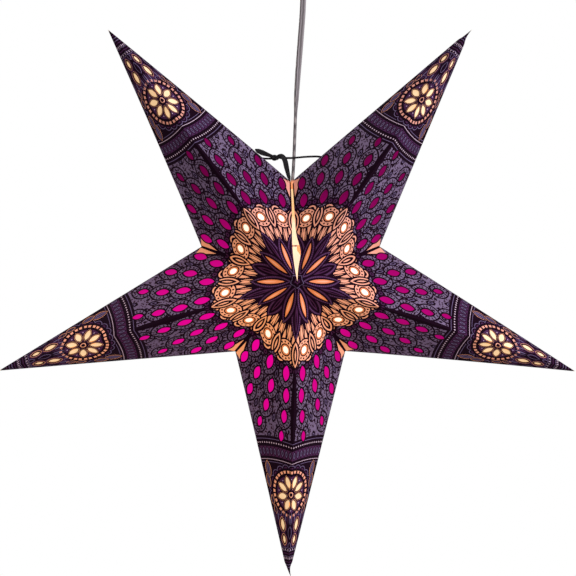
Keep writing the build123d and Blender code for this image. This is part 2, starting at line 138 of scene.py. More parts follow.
flex_route = np.array(
    [
        [0.0, 0.0, -0.0472],
        [0.0006, 0.0, -0.082],
        [-0.0024, 0.0, -0.124],
        [-0.0058, 0.0, -0.168],
        [-0.0077, 0.0, -0.206],
        [-0.0087, 0.0, -0.240],
        [-0.0100, 0.0, -0.268],
        [-0.012, 0.0, -0.28544],
    ]
)
flex_line = spline_line("flex_route", flex_route)
flex_length, flex_share = shares_along(flex_line)
print("flex is", round(flex_length, 4), "m long")

# %% [markdown]
# ## The skin of a cord
# Flex and ribbon are both a thin section that runs along a line and rolls about it.
# A curve's bevel could carry the section, but it can't change width or roll by a rule of its own.
# So the skin is a grid of points worked out at once: a row for each place on the line,
# and a column for each point round the section.

# %% The skin of a cord
FRONT = np.array([0.0, -1.0, 0.0])


def unit(vectors):
    """Each row divided by its length."""
    return vectors / np.maximum(np.linalg.norm(vectors, axis=-1, keepdims=True), 1e-12)


def tube_triangles(rows, around, closed):
    """Two triangles for each cell of a grid that closes round; fans over both ends if it isn't a loop."""
    grid = np.arange(rows * around).reshape(rows, around)
    last = rows if closed else rows - 1
    here, ahead = grid[:last], np.roll(grid, -1, 0)[:last]
    one = np.stack([here, np.roll(here, -1, 1), np.roll(ahead, -1, 1)], -1).reshape(-1, 3)
    two = np.stack([here, np.roll(ahead, -1, 1), ahead], -1).reshape(-1, 3)
    fan = np.arange(1, 1 if closed else around - 1)
    start_cap = np.stack([0 * fan, fan + 1, fan], 1)
    end_cap = np.stack([0 * fan, fan, fan + 1], 1) + grid[-1, 0]
    return np.concatenate([one, two, start_cap, end_cap])


def sweep(line, section, roll, closed=False):
    """Skin of a cord: each point is its place on the line, plus the section's x times the wide direction,
    plus the section's y times the deep one. At no roll the deep direction is the one nearest to the front."""
    if closed:
        along = unit(np.roll(line, -1, 0) - np.roll(line, 1, 0))
    else:
        along = unit(np.gradient(line, axis=0))
    facing = unit(FRONT - (along @ FRONT)[:, None] * along)
    across = np.cross(along, facing)
    cosine, sine = np.cos(roll)[:, None], np.sin(roll)[:, None]
    wide_way, deep_way = across * cosine + facing * sine, facing * cosine - across * sine
    points = line[:, None] + section[..., :1] * wide_way[:, None] + section[..., 1:] * deep_way[:, None]
    return points.reshape(-1, 3), tube_triangles(*points.shape[:2], closed)


print("a tube of 10 rings with 8 points each has", len(tube_triangles(10, 8, False)), "triangles")

# %% [markdown]
# ## The shape of the flex
# The flex is flat: two stranded cores side by side in clear plastic, with a groove between them.
# A round tube scaled flat would lose the groove, so the section is a rounded box with two dents.
# It rolls a quarter turn on its way down, because only its thin side fits into the seam of the star.

# %% The shape of the flex
FLEX_WIDTH, FLEX_THICKNESS, FLEX_SIDES = 0.0062, 0.0034, 48
FLEX_SQUARENESS, GROOVE_WIDTH, GROOVE_DEPTH = 0.75, 0.22, 0.3
ROLL_SHARES, ROLL_DEGREES = [0.34, 0.47, 0.58, 0.64, 0.70], [0, 25, 48, 78, 90]


def ring_section(count, power=1.0):
    """Ring from -1 to 1: cosine and sine of the angle, each raised to a power; below 1 squares it off."""
    angle = np.linspace(0, 2 * np.pi, count, endpoint=False)
    ring = np.stack([np.cos(angle), np.sin(angle)], 1)
    return np.sign(ring) * np.abs(ring) ** power


wide, deep = ring_section(FLEX_SIDES, FLEX_SQUARENESS).T
groove = 1 - GROOVE_DEPTH * np.exp(-((wide / GROOVE_WIDTH) ** 2))
flex_section = np.stack([wide * FLEX_WIDTH / 2, deep * groove * FLEX_THICKNESS / 2], 1)
flex_section = np.broadcast_to(flex_section, (len(flex_line), *flex_section.shape))
flex_roll = np.radians(np.interp(flex_share, ROLL_SHARES, ROLL_DEGREES))
flex_points, flex_triangles = sweep(flex_line, flex_section, flex_roll)
print("flex skin has", len(flex_triangles), "triangles")

# %% [markdown]
# ## Colours and nodes
# Paper, plastic and metal each have a colour and a shine of their own.
# Both could be picked by eye in the shader editor, but a number can be read and checked.
# So colours are written as on a screen and turned into linear light, which Blender works in.
# Small helpers make a material, add a node and join two nodes, so that each finish stays short.


# %% Colours and nodes
def linear(red, green, blue):
    """Screen colour from 0 to 255 as linear light: about its share of 255 to the power 2.4."""
    value = np.array([red, green, blue]) / 255
    curve = np.where(value <= 0.04045, value / 12.92, ((value + 0.055) / 1.055) ** 2.4)
    return (*curve, 1.0)


def new_material(name, colour, roughness):
    """Principled material with its base colour and roughness set on the sockets."""
    material = bpy.data.materials.new(name)
    material.use_nodes = True
    shader = material.node_tree.nodes["Principled BSDF"]
    shader.inputs["Base Color"].default_value = colour
    shader.inputs["Roughness"].default_value = roughness
    return material, material.node_tree, shader


def add_node(tree, kind, operation=None, **values):
    """New shader node of a kind, with its operation chosen and its named inputs set."""
    node = tree.nodes.new("ShaderNode" + kind)
    if operation:
        node.operation = operation
    for socket, value in values.items():
        node.inputs[socket].default_value = value
    return node


def link(source, output, target, socket):
    """Join an output of one node to an input of another, each by its name or number."""
    source.id_data.links.new(source.outputs[output], target.inputs[socket])


print("a screen grey of 128 is", round(linear(128, 128, 128)[0], 3), "in linear light")

# %% [markdown]
# ## Drift and grain
# No real surface is one even colour: it drifts in shade, and light catches its fine grain.
# Photographs of such surfaces could be laid on, but they need files, and they repeat themselves.
# Noise in space has no seams, so one helper drifts the colour and another lifts the grain.
# It reads Object coordinates, so the grain keeps its real size and stays with the piece.

# %% Drift and grain
DRIFT_LOW, DRIFT_HIGH, GRAIN_STRENGTH = 0.3, 0.7, 0.6


def on_object(node):
    """Feed a node with the object's own coordinates, in metres."""
    link(add_node(node.id_data, "TexCoord"), "Object", node, "Vector")
    return node


def add_noise(tree, scale):
    """Noise with a scale in waves for each metre."""
    return on_object(add_node(tree, "TexNoise", Scale=scale, Detail=3.0))


def colour_ramp(tree, *stops):
    """Colour ramp with a stop for each (place, colour), in rising order."""
    ramp = add_node(tree, "ValToRGB")
    elements = ramp.color_ramp.elements
    elements[0].position, elements[0].color = stops[0]
    elements[1].position, elements[1].color = stops[-1]
    for place, colour in stops[1:-1]:
        elements.new(place).color = colour
    return ramp


def mottle(tree, shader, colour, scale, low, high):
    """Base colour that drifts with noise between low times and high times its shade."""
    shade = np.array(colour[:3])
    darker, lighter = (*(shade * low), 1.0), (*np.minimum(shade * high, 1.0), 1.0)
    ramp = colour_ramp(tree, (DRIFT_LOW, darker), (DRIFT_HIGH, lighter))
    link(add_noise(tree, scale), "Fac", ramp, "Fac")
    link(ramp, "Color", shader, "Base Color")


def raise_grain(shader, pattern, depth, strength):
    """Bump from a pattern between 0 and 1, with its depth in metres."""
    bump = add_node(shader.id_data, "Bump", Distance=depth, Strength=strength)
    link(pattern, "Fac", bump, "Height")
    link(bump, "Normal", shader, "Normal")


def roughen(tree, shader, scale, depth):
    """Fine bump from noise, with its scale in waves for each metre and its depth in metres."""
    raise_grain(shader, add_noise(tree, scale), depth, GRAIN_STRENGTH)


print("noise of scale 500 has a grain of about", 1000 / 500, "mm")

# %% [markdown]
# ## Clear grey plastic
# Through the clear sleeve of the flex its two stranded cores show as lighter and darker streaks.
# Clear plastic round modelled wires would render slowly and look the same from a step away.
# So each point holds its place across the flex, and a ramp turns that place into a streak of grey.
# The end inside the star also takes the lamp's warm light, by a second value that each point holds.

# %% Clear grey plastic
STREAKS = ((0.24, 134), (0.40, 116), (0.54, 90), (0.66, 144), (0.76, 138), (0.87, 58), (0.93, 90))
STREAK_TINT = np.array([1.0, 0.93, 0.95])
# The right rim's grey is partly the sleeve's own colour and partly a painted highlight on the flex's narrow
# edge.
LEFT_RIM, RIGHT_RIM_AND_HIGHLIGHT = linear(140, 132, 134), linear(158, 148, 146)


def read_value(tree, name):
    """Node that reads a value which each point of the mesh holds under a name."""
    node = add_node(tree, "Attribute")
    node.attribute_name = name
    return node


def light_up(tree, shader, glow, strength):
    """Lamp light that comes through a piece: the lamp value of each point times a strength."""
    times = add_node(tree, "Math", "MULTIPLY")
    times.inputs[1].default_value = strength
    shader.inputs["Emission Color"].default_value = glow
    link(read_value(tree, "lamp"), "Fac", times, 0)
    link(times, "Value", shader, "Emission Strength")


flex_material, tree, shader = new_material("flex_pvc", linear(120, 112, 114), 0.38)
shader.inputs["Specular IOR Level"].default_value = 0.25
streaks = [(place, linear(*(grey * STREAK_TINT))) for place, grey in STREAKS]
ramp = colour_ramp(tree, (0.0, LEFT_RIM), *streaks, (1.0, RIGHT_RIM_AND_HIGHLIGHT))
link(read_value(tree, "core"), "Fac", ramp, "Fac")
link(ramp, "Color", shader, "Base Color")
roughen(tree, shader, 500.0, 0.00004)
light_up(tree, shader, linear(255, 150, 78), 0.9)
print("flex shows", len(ramp.color_ramp.elements), "streaks")

# %% [markdown]
# ## A mesh from arrays
# The skin of the flex is thin, like that of every soft piece here: ribbon, card and tissue.
# Such skins could be drawn in edit mode, or built up with bmesh one face at a time.
# Whole arrays of points and triangles go into a mesh at once, so one helper takes them.
# It also stores a material for each triangle, and for each point the values that the shaders read.

# %% A mesh from arrays
SEAM_MOUTH, MOUTH_FADE, CORE_SPREAD = -0.2695, 0.003, 0.47
STRANDS = ((0.03, 0.0018), (0.02, 0.0031))


def mesh_piece(name, points, triangles, materials, inks=None, values=None):
    """Object from arrays of points and triangles, with a material number for each triangle
    and named values for each point."""
    mesh = bpy.data.meshes.new(name)
    mesh.from_pydata(points.tolist(), [], triangles.tolist())
    for material in materials:
        mesh.materials.append(material)
    if inks is not None:
        mesh.polygons.foreach_set("material_index", np.asarray(inks, np.int32))
    mesh.polygons.foreach_set("use_smooth", np.ones(len(triangles), bool))
    for key, value in (values or {}).items():
        layer = mesh.attributes.new(key, "FLOAT", "POINT")
        layer.data.foreach_set("value", np.asarray(value, np.float32))
    mesh.update()
    piece = bpy.data.objects.new(name, mesh)
    scene.collection.objects.link(piece)
    return piece


strand_wave = sum(size * np.sin(flex_share * flex_length / pitch) for size, pitch in STRANDS)
cores = 0.5 + CORE_SPREAD * wide + strand_wave[:, None]
inside_star = np.clip((SEAM_MOUTH - flex_points[:, 2]) / MOUTH_FADE, 0, 1)
flex_values = {"core": cores.ravel(), "lamp": inside_star}
flex = mesh_piece("flex_cord", flex_points, flex_triangles, [flex_material], values=flex_values)
print(flex.name, "has", len(flex.data.vertices), "points")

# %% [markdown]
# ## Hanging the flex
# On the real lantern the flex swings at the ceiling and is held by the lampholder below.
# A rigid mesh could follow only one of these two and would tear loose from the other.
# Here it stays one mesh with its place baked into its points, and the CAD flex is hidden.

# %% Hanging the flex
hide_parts("lamp_flex")
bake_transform(flex)
print("flex hangs from", flex_line[0].round(4), "to", flex_line[-1].round(4))

# %% [markdown]
# ## One flat facet
# A point of the star is a card sheet folded into four equal triangles, two in front and two behind.
# Each triangle could be modelled where it stands, twenty times over.
# But a paper maker prints and cuts the sheet flat and folds it afterwards, and so does this lesson.
# The sizes of the one flat triangle come first: its ridge, its valley and the crease from notch to tip.

# %% One flat facet
TIP_RADIUS, NOTCH_RADIUS, HALF_DEPTH = 315.5, 98.0, 95.0
POINT_ANGLES = {"upper_right": 36, "right": 108, "lower": 180, "left": 252, "upper_left": 324}
sector = np.radians(180 / len(POINT_ANGLES))
centre = np.array([0.0, -HALF_DEPTH, 0.0])
tip = np.array([0.0, 0.0, TIP_RADIUS])
notch = NOTCH_RADIUS * np.array([-np.sin(sector), 0.0, np.cos(sector)])
RIDGE = np.linalg.norm(tip - centre)
ridge_way = (tip - centre) / RIDGE
outward = unit(np.cross(tip - centre, notch - centre))
across_way = np.cross(outward, ridge_way)
FLAT_TIP = np.array([RIDGE, 0.0])
FLAT_NOTCH = np.array([(notch - centre) @ ridge_way, (notch - centre) @ across_way])
VALLEY = np.linalg.norm(FLAT_NOTCH)
valley_way = FLAT_NOTCH / VALLEY
facet_angle = np.degrees(np.arctan2(FLAT_NOTCH[1], FLAT_NOTCH[0]))
tip_angle = np.degrees(np.arctan2(FLAT_NOTCH[1], RIDGE - FLAT_NOTCH[0]))
print("facet angles", round(facet_angle, 2), round(tip_angle, 2), "ridge", round(RIDGE, 1), "mm")

# %% [markdown]
# ## Black ribbon
# The tie is a narrow woven ribbon, dull black with a fine rib across it.
# Its threads could be modelled one by one, but they are finer than a tenth of a millimetre.
# A wave in the bump gives the same play of light, so the mesh can stay small.

# %% Black ribbon
RIBBON_BLACK, WEAVE_SCALE = linear(17, 14, 16), 900.0
ribbon_material, tree, shader = new_material("tie_ribbon", RIBBON_BLACK, 0.6)
shader.inputs["Specular IOR Level"].default_value = 0.2
mottle(tree, shader, RIBBON_BLACK, 300.0, 0.7, 1.5)
weave = on_object(add_node(tree, "TexWave", Scale=WEAVE_SCALE, Distortion=1.5))
raise_grain(shader, weave, 0.0001, 1.0)
print("ribs of the ribbon are about", round(1000 * 2 * np.pi / 20 / WEAVE_SCALE, 2), "mm apart")

# %% [markdown]
# ## The holes of the tie
# A hole is punched near the notch of each upper point, and the tie comes out of it at the back.
# Its place could be read off the CAD model, but a copied number would not follow the facet's sizes.
# So it is found as a paper maker marks it: a way along the crease, and a little in from it.

# %% The holes of the tie
HOLE_ALONG, HOLE_INSET = 43.0, 5.0
crease_way = unit(FLAT_TIP - FLAT_NOTCH)
flat_hole = FLAT_NOTCH + HOLE_ALONG * crease_way + HOLE_INSET * np.array([crease_way[1], -crease_way[0]])


def at_upper_right(vector):
    """A vector of the upright point's front, mirrored to the back and turned to the upper right point."""
    x, y, z = vector
    cosine, sine = np.cos(sector), np.sin(sector)
    return np.array([x * cosine + z * sine, -y, z * cosine - x * sine])


hole = at_upper_right(centre + flat_hole @ np.stack([ridge_way, across_way]))
hole_way = at_upper_right(outward)
print("the right hole is", hole.round(2), "mm from the star's middle")

# %% [markdown]
# ## The run of the tie
# The ribbon comes out of its holes and is knotted beside the flex, with two cut tails.
# A simulation could drop a ribbon, but it can't tie a knot that looks like this one.
# So its points are listed, in millimetres from the star's middle.
# One length runs on through the knot into the lower tail, as a real ribbon does.

# %% The run of the tie
HOLE_BEHIND, HOLE_BEFORE = 3.0, 3.2
mirror = np.array([-1.0, 1.0, 1.0])
knot_at = np.array([-16.6, 0.9, 122.9])
tie_routes = {
    "right": [
        hole - HOLE_BEHIND * hole_way,
        hole + HOLE_BEFORE * hole_way + [0.0, 0.0, -1.0],
        [16.0, -2.6, 124.2],
        [4.4, -4.9, 123.1],
        [-4.0, -4.7, 122.6],
        knot_at + [4.7, -1.6, 0.2],
    ],
    "left": [
        mirror * (hole - HOLE_BEHIND * hole_way),
        mirror * (hole + HOLE_BEFORE * hole_way) + [0.0, 0.0, -3.0],
        knot_at + [-6.0, 0.4, -1.2],
        knot_at + [1.0, -0.6, 0.2],
        knot_at + [6.2, -4.2, 2.6],
        knot_at + [9.8, -5.8, -1.4],
        knot_at + [11.4, -6.2, -9.2],
        knot_at + [13.2, -5.9, -16.8],
        knot_at + [15.4, -5.2, -24.6],
    ],
    "upper_tail": [
        knot_at + [-1.6, -0.8, 1.0],
        knot_at + [-8.0, -2.8, 3.3],
        knot_at + [-14.5, -4.6, 5.6],
        knot_at + [-21.3, -5.2, 8.8],
    ],
}
tie_lines = {
    key: spline_line(key + "_route", np.array(route) * MILLIMETRE + STAR) for key, route in tie_routes.items()
}

# %% [markdown]
# ## A ribbon along a line
# A real ribbon lies edge on where it is pulled tight, and opens flat where it is loose.
# One even strip would look like wire, and a separate mesh for each stretch would show its joins.
# So width, thickness and roll are given at a few shares of the length and drawn out in between.

# %% A ribbon along a line
RIBBON_SIDES, RIBBON_SQUARENESS = 20, 0.6


def ribbon(name, line, half_width, half_thick, roll, body):
    """Flat ribbon along a line: a squared ring scaled to a half width and half thickness, in millimetres,
    and rolled in degrees. Each of the three is a list of shares of the length and a list of values there."""
    share = shares_along(line)[1]
    scale = np.stack([np.interp(share, *half_width), np.interp(share, *half_thick)], 1) * MILLIMETRE
    section = ring_section(RIBBON_SIDES, RIBBON_SQUARENESS)[None] * scale[:, None]
    points, triangles = sweep(line, section, np.radians(np.interp(share, *roll)))
    piece = mesh_piece(name, points, triangles, [ribbon_material])
    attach(piece, body)
    return piece


tie_right = ribbon(
    "tie_right_ribbon",
    tie_lines["right"],
    ([0, 0.7, 0.85, 1], [0.95, 0.95, 1.1, 1.4]),
    ([0, 1], [0.9, 0.9]),
    ([0, 1], [40, 10]),
    "upper_right_point",
)
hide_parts("tie_right")
print(tie_right.name, "has", len(tie_right.data.polygons), "triangles")

# %% [markdown]
# ## The left length and the tails
# From the left hole the ribbon goes through the knot, and its two ends are cut to a point.
# The tails could be strips with square ends, but cut ribbon is trimmed at a slant.
# So the width swells after the knot and narrows at the very end, while the ribbon gets thinner.

# %% The left length and the tails
tie_left = ribbon(
    "tie_left_ribbon",
    tie_lines["left"],
    ([0, 0.25, 0.38, 0.5, 0.7, 0.92, 1], [0.95, 0.95, 1.6, 2.6, 2.7, 1.9, 0.4]),
    ([0, 0.3, 0.5, 1], [0.9, 0.9, 0.6, 0.4]),
    ([0, 0.4, 0.7, 1], [40, 10, -8, 12]),
    "upper_left_point",
)
upper_tail = ribbon(
    "tie_upper_tail",
    tie_lines["upper_tail"],
    ([0, 0.3, 0.6, 0.85, 1], [1.4, 2.1, 2.8, 2.3, 0.7]),
    ([0, 1], [0.6, 0.4]),
    ([0, 1], [20, -6]),
    "upper_left_point",
)
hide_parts("tie_left", "tie_tails")
print(tie_left.name, "and", upper_tail.name, "stand for the left length and the tails")

# %% [markdown]
# ## Knots
# The two lengths meet in a knot, and a small knot inside the paper stops each from slipping out.
# A ball would be quick, but even a small knot shows where the ribbon crosses over itself.
# A trefoil is the overhand knot with its ends joined, and it has a short formula.
# So each knot is a closed tube along a trefoil, flattened to the size of the real one.

# %% Knots
KNOT_STEPS, KNOT_SIDES = 90, 14
KNOT_SIZE, KNOT_SECTION = (3.1, 1.5, 2.1), (1.25, 0.9)
STOPPER_SIZE, STOPPER_SECTION = (1.5, 1.4, 1.5), (0.75, 0.7)


def knotted(name, place, size, half_section, body):
    """Overhand knot: a closed tube along a trefoil, at a place in metres, with its sizes in millimetres.

    The trefoil is 2 + cos 3t, over 3, times cos 2t and sin 2t, and it waves to and fro by sin 3t."""
    lap = np.linspace(0, 2 * np.pi, KNOT_STEPS, endpoint=False)
    reach = (2 + np.cos(3 * lap)) / 3
    trefoil = np.stack([reach * np.cos(2 * lap), np.sin(3 * lap), reach * np.sin(2 * lap)], 1)
    line = trefoil * np.array(size) * MILLIMETRE + place
    section = ring_section(KNOT_SIDES) * np.array(half_section) * MILLIMETRE
    section = np.broadcast_to(section, (len(line), *section.shape))
    piece = mesh_piece(name, *sweep(line, section, 0 * lap, closed=True), [ribbon_material])
    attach(piece, body)
    return piece


knot_place = knot_at * MILLIMETRE + STAR
knot = knotted("tie_knot_wraps", knot_place, KNOT_SIZE, KNOT_SECTION, "upper_left_point")
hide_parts("tie_knot")
stoppers = {}
for side in ("right", "left"):
    node, body = side + "_stopper", "upper_" + side + "_point"
    middle = np.mean([np.array(corner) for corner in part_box(node)], axis=0)
    stoppers[side] = knotted(node + "_knot", middle, STOPPER_SIZE, STOPPER_SECTION, body)
    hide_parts(node)
print("knots", knot.name, *[stopper.name for stopper in stoppers.values()])

# %% [markdown]
# ## The tie's own meshes
# When the lantern is packed away its points close like a fan, and the tie is pressed flat with them.
# Shape keys for each pose would be hand work, and a rigid ribbon would cut through the paper.
# Here each piece of the tie only gets its own copy of its mesh, and nothing squashes it.


def press_flat(piece):
    """Give a piece its own copy of its mesh; nothing squashes it."""
    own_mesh(piece)


for piece in (tie_right, stoppers["right"]):
    press_flat(piece)
for piece in (tie_left, upper_tail, knot, stoppers["left"]):
    press_flat(piece)

# %% [markdown]
# ## Where the tie leaves the paper
# A ribbon has a fixed length, and whoever ties it again has to know how long it is.
# Its mesh alone would not say that, because a mesh is only triangles.
# Here only the places where both lengths leave the paper are printed.

# %% Where the tie leaves the paper
print("the tie leaves the paper at", tie_lines["right"][0].round(4), "and", tie_lines["left"][0].round(4))

# %% [markdown]
# ## Leaves and discs
# The card is cut and printed with a few simple figures, and leaves and discs are the most common.
# They could be drawn as curves and projected on the paper, but that is hard to repeat exactly.
# So each figure is a function that gives its outline on the flat facet, in millimetres.
# It is then moved out along a ray from the middle of the star or from a place on the ridge.


# %% Leaves and discs
def turned(shape, angle):
    """Shape turned about its origin by an angle in degrees."""
    cosine, sine = np.cos(np.radians(angle)), np.sin(np.radians(angle))
    return shape @ np.array([[cosine, sine], [-sine, cosine]])


def leaf(length, width, steps=9):
    """Pointed leaf along x: two equal circular arcs that meet at its ends.

    Their radius is the sum of the squares of both halves, over the width."""
    radius = (length**2 / 4 + width**2 / 4) / width
    half_turn = np.arcsin(min(1.0, length / 2 / radius))
    angle = np.linspace(-half_turn, half_turn, steps)
    upper = np.stack([radius * np.sin(angle), radius * np.cos(angle) - radius + width / 2], 1)
    return np.concatenate([upper, upper[-2:0:-1] * [1, -1]])


def disc(radius, steps=8):
    """Round dot as a regular polygon: a ring of corners times a radius."""
    return radius * ring_section(steps)


def on_ray(shape, radius, angle, origin=0.0):
    """Shape moved out along a ray, with its length along that ray; origin is a place on the ridge."""
    return turned(shape + [radius, 0.0], angle) + [origin, 0.0]


print("a leaf outline has", len(leaf(18.0, 9.0)), "points and a disc", len(disc(4.0)))

# %% [markdown]
# ## Arcs and tapered lines
# Borders and creases of the print are strips: some run round the star's middle or a tip, some straight.
# A curve with a bevel would make them, but its ends would not sit exactly on the folds.
# So a strip is an outline too, between two arcs or with half its width to either side of a line.


# %% Arcs and tapered lines
def band(inner, outer, first, last, origin=0.0, steps=24):
    """Strip between two arcs about a place on the ridge, from one angle to another."""
    angle = np.radians(np.linspace(first, last, steps))
    arc = np.stack([np.cos(angle), np.sin(angle)], 1)
    return np.concatenate([outer * arc, inner * arc[::-1]]) + [origin, 0.0]


def strip(start, end, start_width, end_width):
    """Straight tapered line from one point to another: half of each width to both sides."""
    way = unit(end - start)
    side = np.array([-way[1], way[0]]) / 2
    widths = np.array([-start_width, -end_width, end_width, start_width])
    return np.array([start, end, end, start]) + widths[:, None] * side


print("a band has", len(band(1.0, 2.0, 0, 90)), "points and a strip", len(strip(FLAT_NOTCH, FLAT_TIP, 1, 1)))

# %% [markdown]
# ## Windows
# The lamp shines out through die-cut windows: pearls near the centre, rows of leaves, petals at the tip.
# A Boolean modifier could cut them, but with twenty in each facet it is slow and leaves ragged faces.
# So they stay outlines for now, and the paper is later meshed round them.
# Their places repeat the CAD, because tissue and light have to come through the same holes.

# %% Windows
LEAF_ROWS = ((105.0, 18.0, 9.0, 3), (129.0, 17.0, 8.5, 4), (153.0, 15.0, 8.0, 3), (176.0, 12.0, 6.5, 2))
PEARL_ROW, PEARL_RADIUS, PEARL_COUNT = 80.0, 4.0, 2
MEDALLION_FROM_TIP, PETALS = 93.5, 4
PETAL_RADIUS, PETAL_LENGTH, PETAL_WIDTH = 13.5, 13.0, 6.5
TIP_LEAVES = ((58.0, 13.0, 5.5), (42.0, 9.0, 4.0))
MEDALLION = RIDGE - MEDALLION_FROM_TIP
crease_distance = RIDGE * np.sin(np.radians(tip_angle))


def open_angle(radius):
    """Angle of the facet that is still paper at this radius: all of it up to the nearest place on the
    crease, and beyond that what the crease leaves."""
    if radius <= crease_distance:
        return facet_angle
    return min(facet_angle, 90 - tip_angle - np.degrees(np.arccos(crease_distance / radius)))


pearl_places = [(PEARL_ROW, facet_angle * (i + 0.5) / PEARL_COUNT) for i in range(PEARL_COUNT)]
leaf_places = [
    (radius, open_angle(radius) * (i + 0.5) / count, length, width)
    for radius, length, width, count in LEAF_ROWS
    for i in range(count)
]
petal_angles = [180 * (i + 0.5) / PETALS for i in range(PETALS)]
petal = leaf(PETAL_LENGTH, PETAL_WIDTH)
windows = [on_ray(disc(PEARL_RADIUS, 20), *place) for place in pearl_places]
windows += [on_ray(leaf(length, width, 11), radius, angle) for radius, angle, length, width in leaf_places]
windows += [on_ray(petal, PETAL_RADIUS, angle, MEDALLION) for angle in petal_angles]
windows += [on_ray(leaf(length, width), -away, -tip_angle / 2, RIDGE) for away, length, width in TIP_LEAVES]
print(len(windows), "windows in each facet")

# %% [markdown]
# ## Laying down inks
# The card is printed in a few flat inks before it is cut, with sharp edges between the colours.
# An image laid on the paper would be the usual way, but it blurs close up and needs a file.
# Here each motif is an outline, painted over the ones before it, as a screen printer lays down inks.
# The outlines later become edges of the mesh, so that the print stays sharp at any size.

# %% Laying down inks
DARK, PLUM, MAUVE, GROUND, PEACH, ORANGE, PALE, INSIDE, EDGE = range(9)
motifs = []


def ink(colour, *shapes):
    """Paint shapes over what is already there."""
    motifs.extend((colour, shape) for shape in shapes)


def stacked_discs(rings, steps, *place):
    """Discs painted one on another at a place on a ray, one for each (radius, colour)."""
    for radius, colour in rings:
        ink(colour, on_ray(disc(radius, steps), *place))


def stacked_leaves(sizes, *place):
    """Leaves painted one on another at a place on a ray, one for each (length, width, colour)."""
    for length, width, colour in sizes:
        ink(colour, on_ray(leaf(length, width), *place))


def grown_leaf(length, width, grow, steps, *place):
    """Leaf on a ray, longer and wider than the one given by two lengths in millimetres."""
    return on_ray(leaf(length + grow[0], width + grow[1], steps), *place)


print("seven inks, and", len(motifs), "printed shapes so far")

# %% [markdown]
# ## Rows along an outline
# Borders of fine dots and short strokes run round many motifs, as stitches do round cloth.
# An array along a curve could set them, but it leaves a gap or a crowd where the curve closes.
# So the outline is measured, and a whole number of spots is set on it at even gaps.


# %% Rows along an outline
def spots_along(path, gap):
    """Points at even gaps along a closed path, and the angle square to the path at each."""
    closed = np.concatenate([path, path[:1]])
    run = np.concatenate([[0], np.cumsum(np.linalg.norm(np.diff(closed, axis=0), axis=1))])
    count = max(3, int(round(run[-1] / gap)))
    at = (np.arange(count) + 0.5) * run[-1] / count
    side = np.clip(np.searchsorted(run, at) - 1, 0, len(path) - 1)
    way = np.diff(closed, axis=0)[side]
    spots = np.stack([np.interp(at, run, closed[:, 0]), np.interp(at, run, closed[:, 1])], 1)
    return spots, np.degrees(np.arctan2(way[:, 1], way[:, 0])) + 90


def dots_along(path, gap, radius, steps=6):
    """Round dots at even gaps along a closed path."""
    return [disc(radius, steps) + spot for spot in spots_along(path, gap)[0]]


def strokes_along(path, gap, length, width):
    """Short tapered strokes at even gaps along a closed path, each square to it."""
    stroke = leaf(length, width, 4)
    return [turned(stroke, angle) + spot for spot, angle in zip(*spots_along(path, gap))]


print("a ring of 9 mm takes", len(dots_along(disc(9.0, 24), 4.7, 1.2)), "dots")

# %% [markdown]
# ### Flames and pearls
# Round the centre the card is printed in pale peach, and the lamp shines through it like embroidery.
# A noise texture could scatter such marks, but a printed star repeats them in an exact ring.
# So flames and round loops are counted off along the facet's angle, and the pearls frame the windows.

# %% Flames and pearls
FLAMES, LOOPS, FOLD_GROUPS = 7, 6, 2
LONG_FLAME, SHORT_FLAME, SPARK = (36, 66), (25, 70), (14, 57)
FLAME_WIDTH, SPARK_WIDTH = 4.0, 0.9
VEIN_SHARE, VEIN_WIDTH, VEIN_SHIFT = 0.55, 1.6, 5
LOOP_ROW, FOLD_ROW = 89.5, 81
PEARL_DOT_ROW, PEARL_DOT_GAP, PEARL_DOT = 9.1, 4.7, 1.2
LOOP_RINGS = ((7.6, DARK), (5.6, PEACH), (3.8, DARK), (1.7, PEACH))
PEARL_FRAME, PEARL_HEART = ((13.2, DARK), (11.4, PEACH)), ((7.0, DARK), (5.6, ORANGE))
FOLD_LEAVES = ((35, 14.0, DARK), (29, 9.6, PEACH), (23, 6.4, DARK), (13, 2.0, PEACH))
flame_gap = facet_angle / FLAMES
for i in range(FLAMES):
    ray = flame_gap * (i + 0.5)
    length, away = LONG_FLAME if i % 2 else SHORT_FLAME
    ink(PEACH, on_ray(leaf(length, FLAME_WIDTH), away, ray))
    ink(DARK, on_ray(leaf(length * VEIN_SHARE, VEIN_WIDTH, 5), away + VEIN_SHIFT, ray))
    ink(PEACH, on_ray(leaf(SPARK[0], SPARK_WIDTH, 5), SPARK[1], ray + flame_gap / 2))
for i in range(LOOPS + 1):
    stacked_discs(LOOP_RINGS, 18, LOOP_ROW, facet_angle * i / LOOPS)
for place in pearl_places:
    stacked_discs(PEARL_FRAME, 28, *place)
    ink(DARK, *dots_along(on_ray(disc(PEARL_DOT_ROW, 24), *place), PEARL_DOT_GAP, PEARL_DOT, 8))
    stacked_discs(PEARL_HEART, 20, *place)
for i in range(FOLD_GROUPS + 1):
    stacked_leaves(FOLD_LEAVES, FOLD_ROW, facet_angle * i / FOLD_GROUPS)
print(len(motifs), "printed shapes so far")

# %% [markdown]
# ### Lotus
# A lotus opens from the front centre: ten lit petals, with darker leaves on the folds between them.
# Its petals could be modelled in relief, but on a real star they are only ink on flat card.
# So each petal is a nest of leaves, each inside the last, with a row of fine dots along its border.

# %% Lotus
LOTUS_EDGE, LOTUS_BORDER, LOTUS_DOTS = (7.0, 8.4), (3.8, 4.6), (1.4, 2.0)
LOTUS_INNER, LOTUS_FILL, LOTUS_CORE = (-1.2, -0.2), (-11.0, -5.0), (0.4, 0.18, 0.04)
LOTUS_LEAF, LOTUS_PETAL = (20, 62, 9.4), (9, 52, 10.4)
DOT_GAP, DOT, STAMENS, STAMEN_ROW, STAMEN = 2.4, 0.5, 4, 7.2, 0.6
SEED_HEAD, SEED_RINGS = 9.0, ((3.0, 16, PLUM), (1.5, 12, DARK))


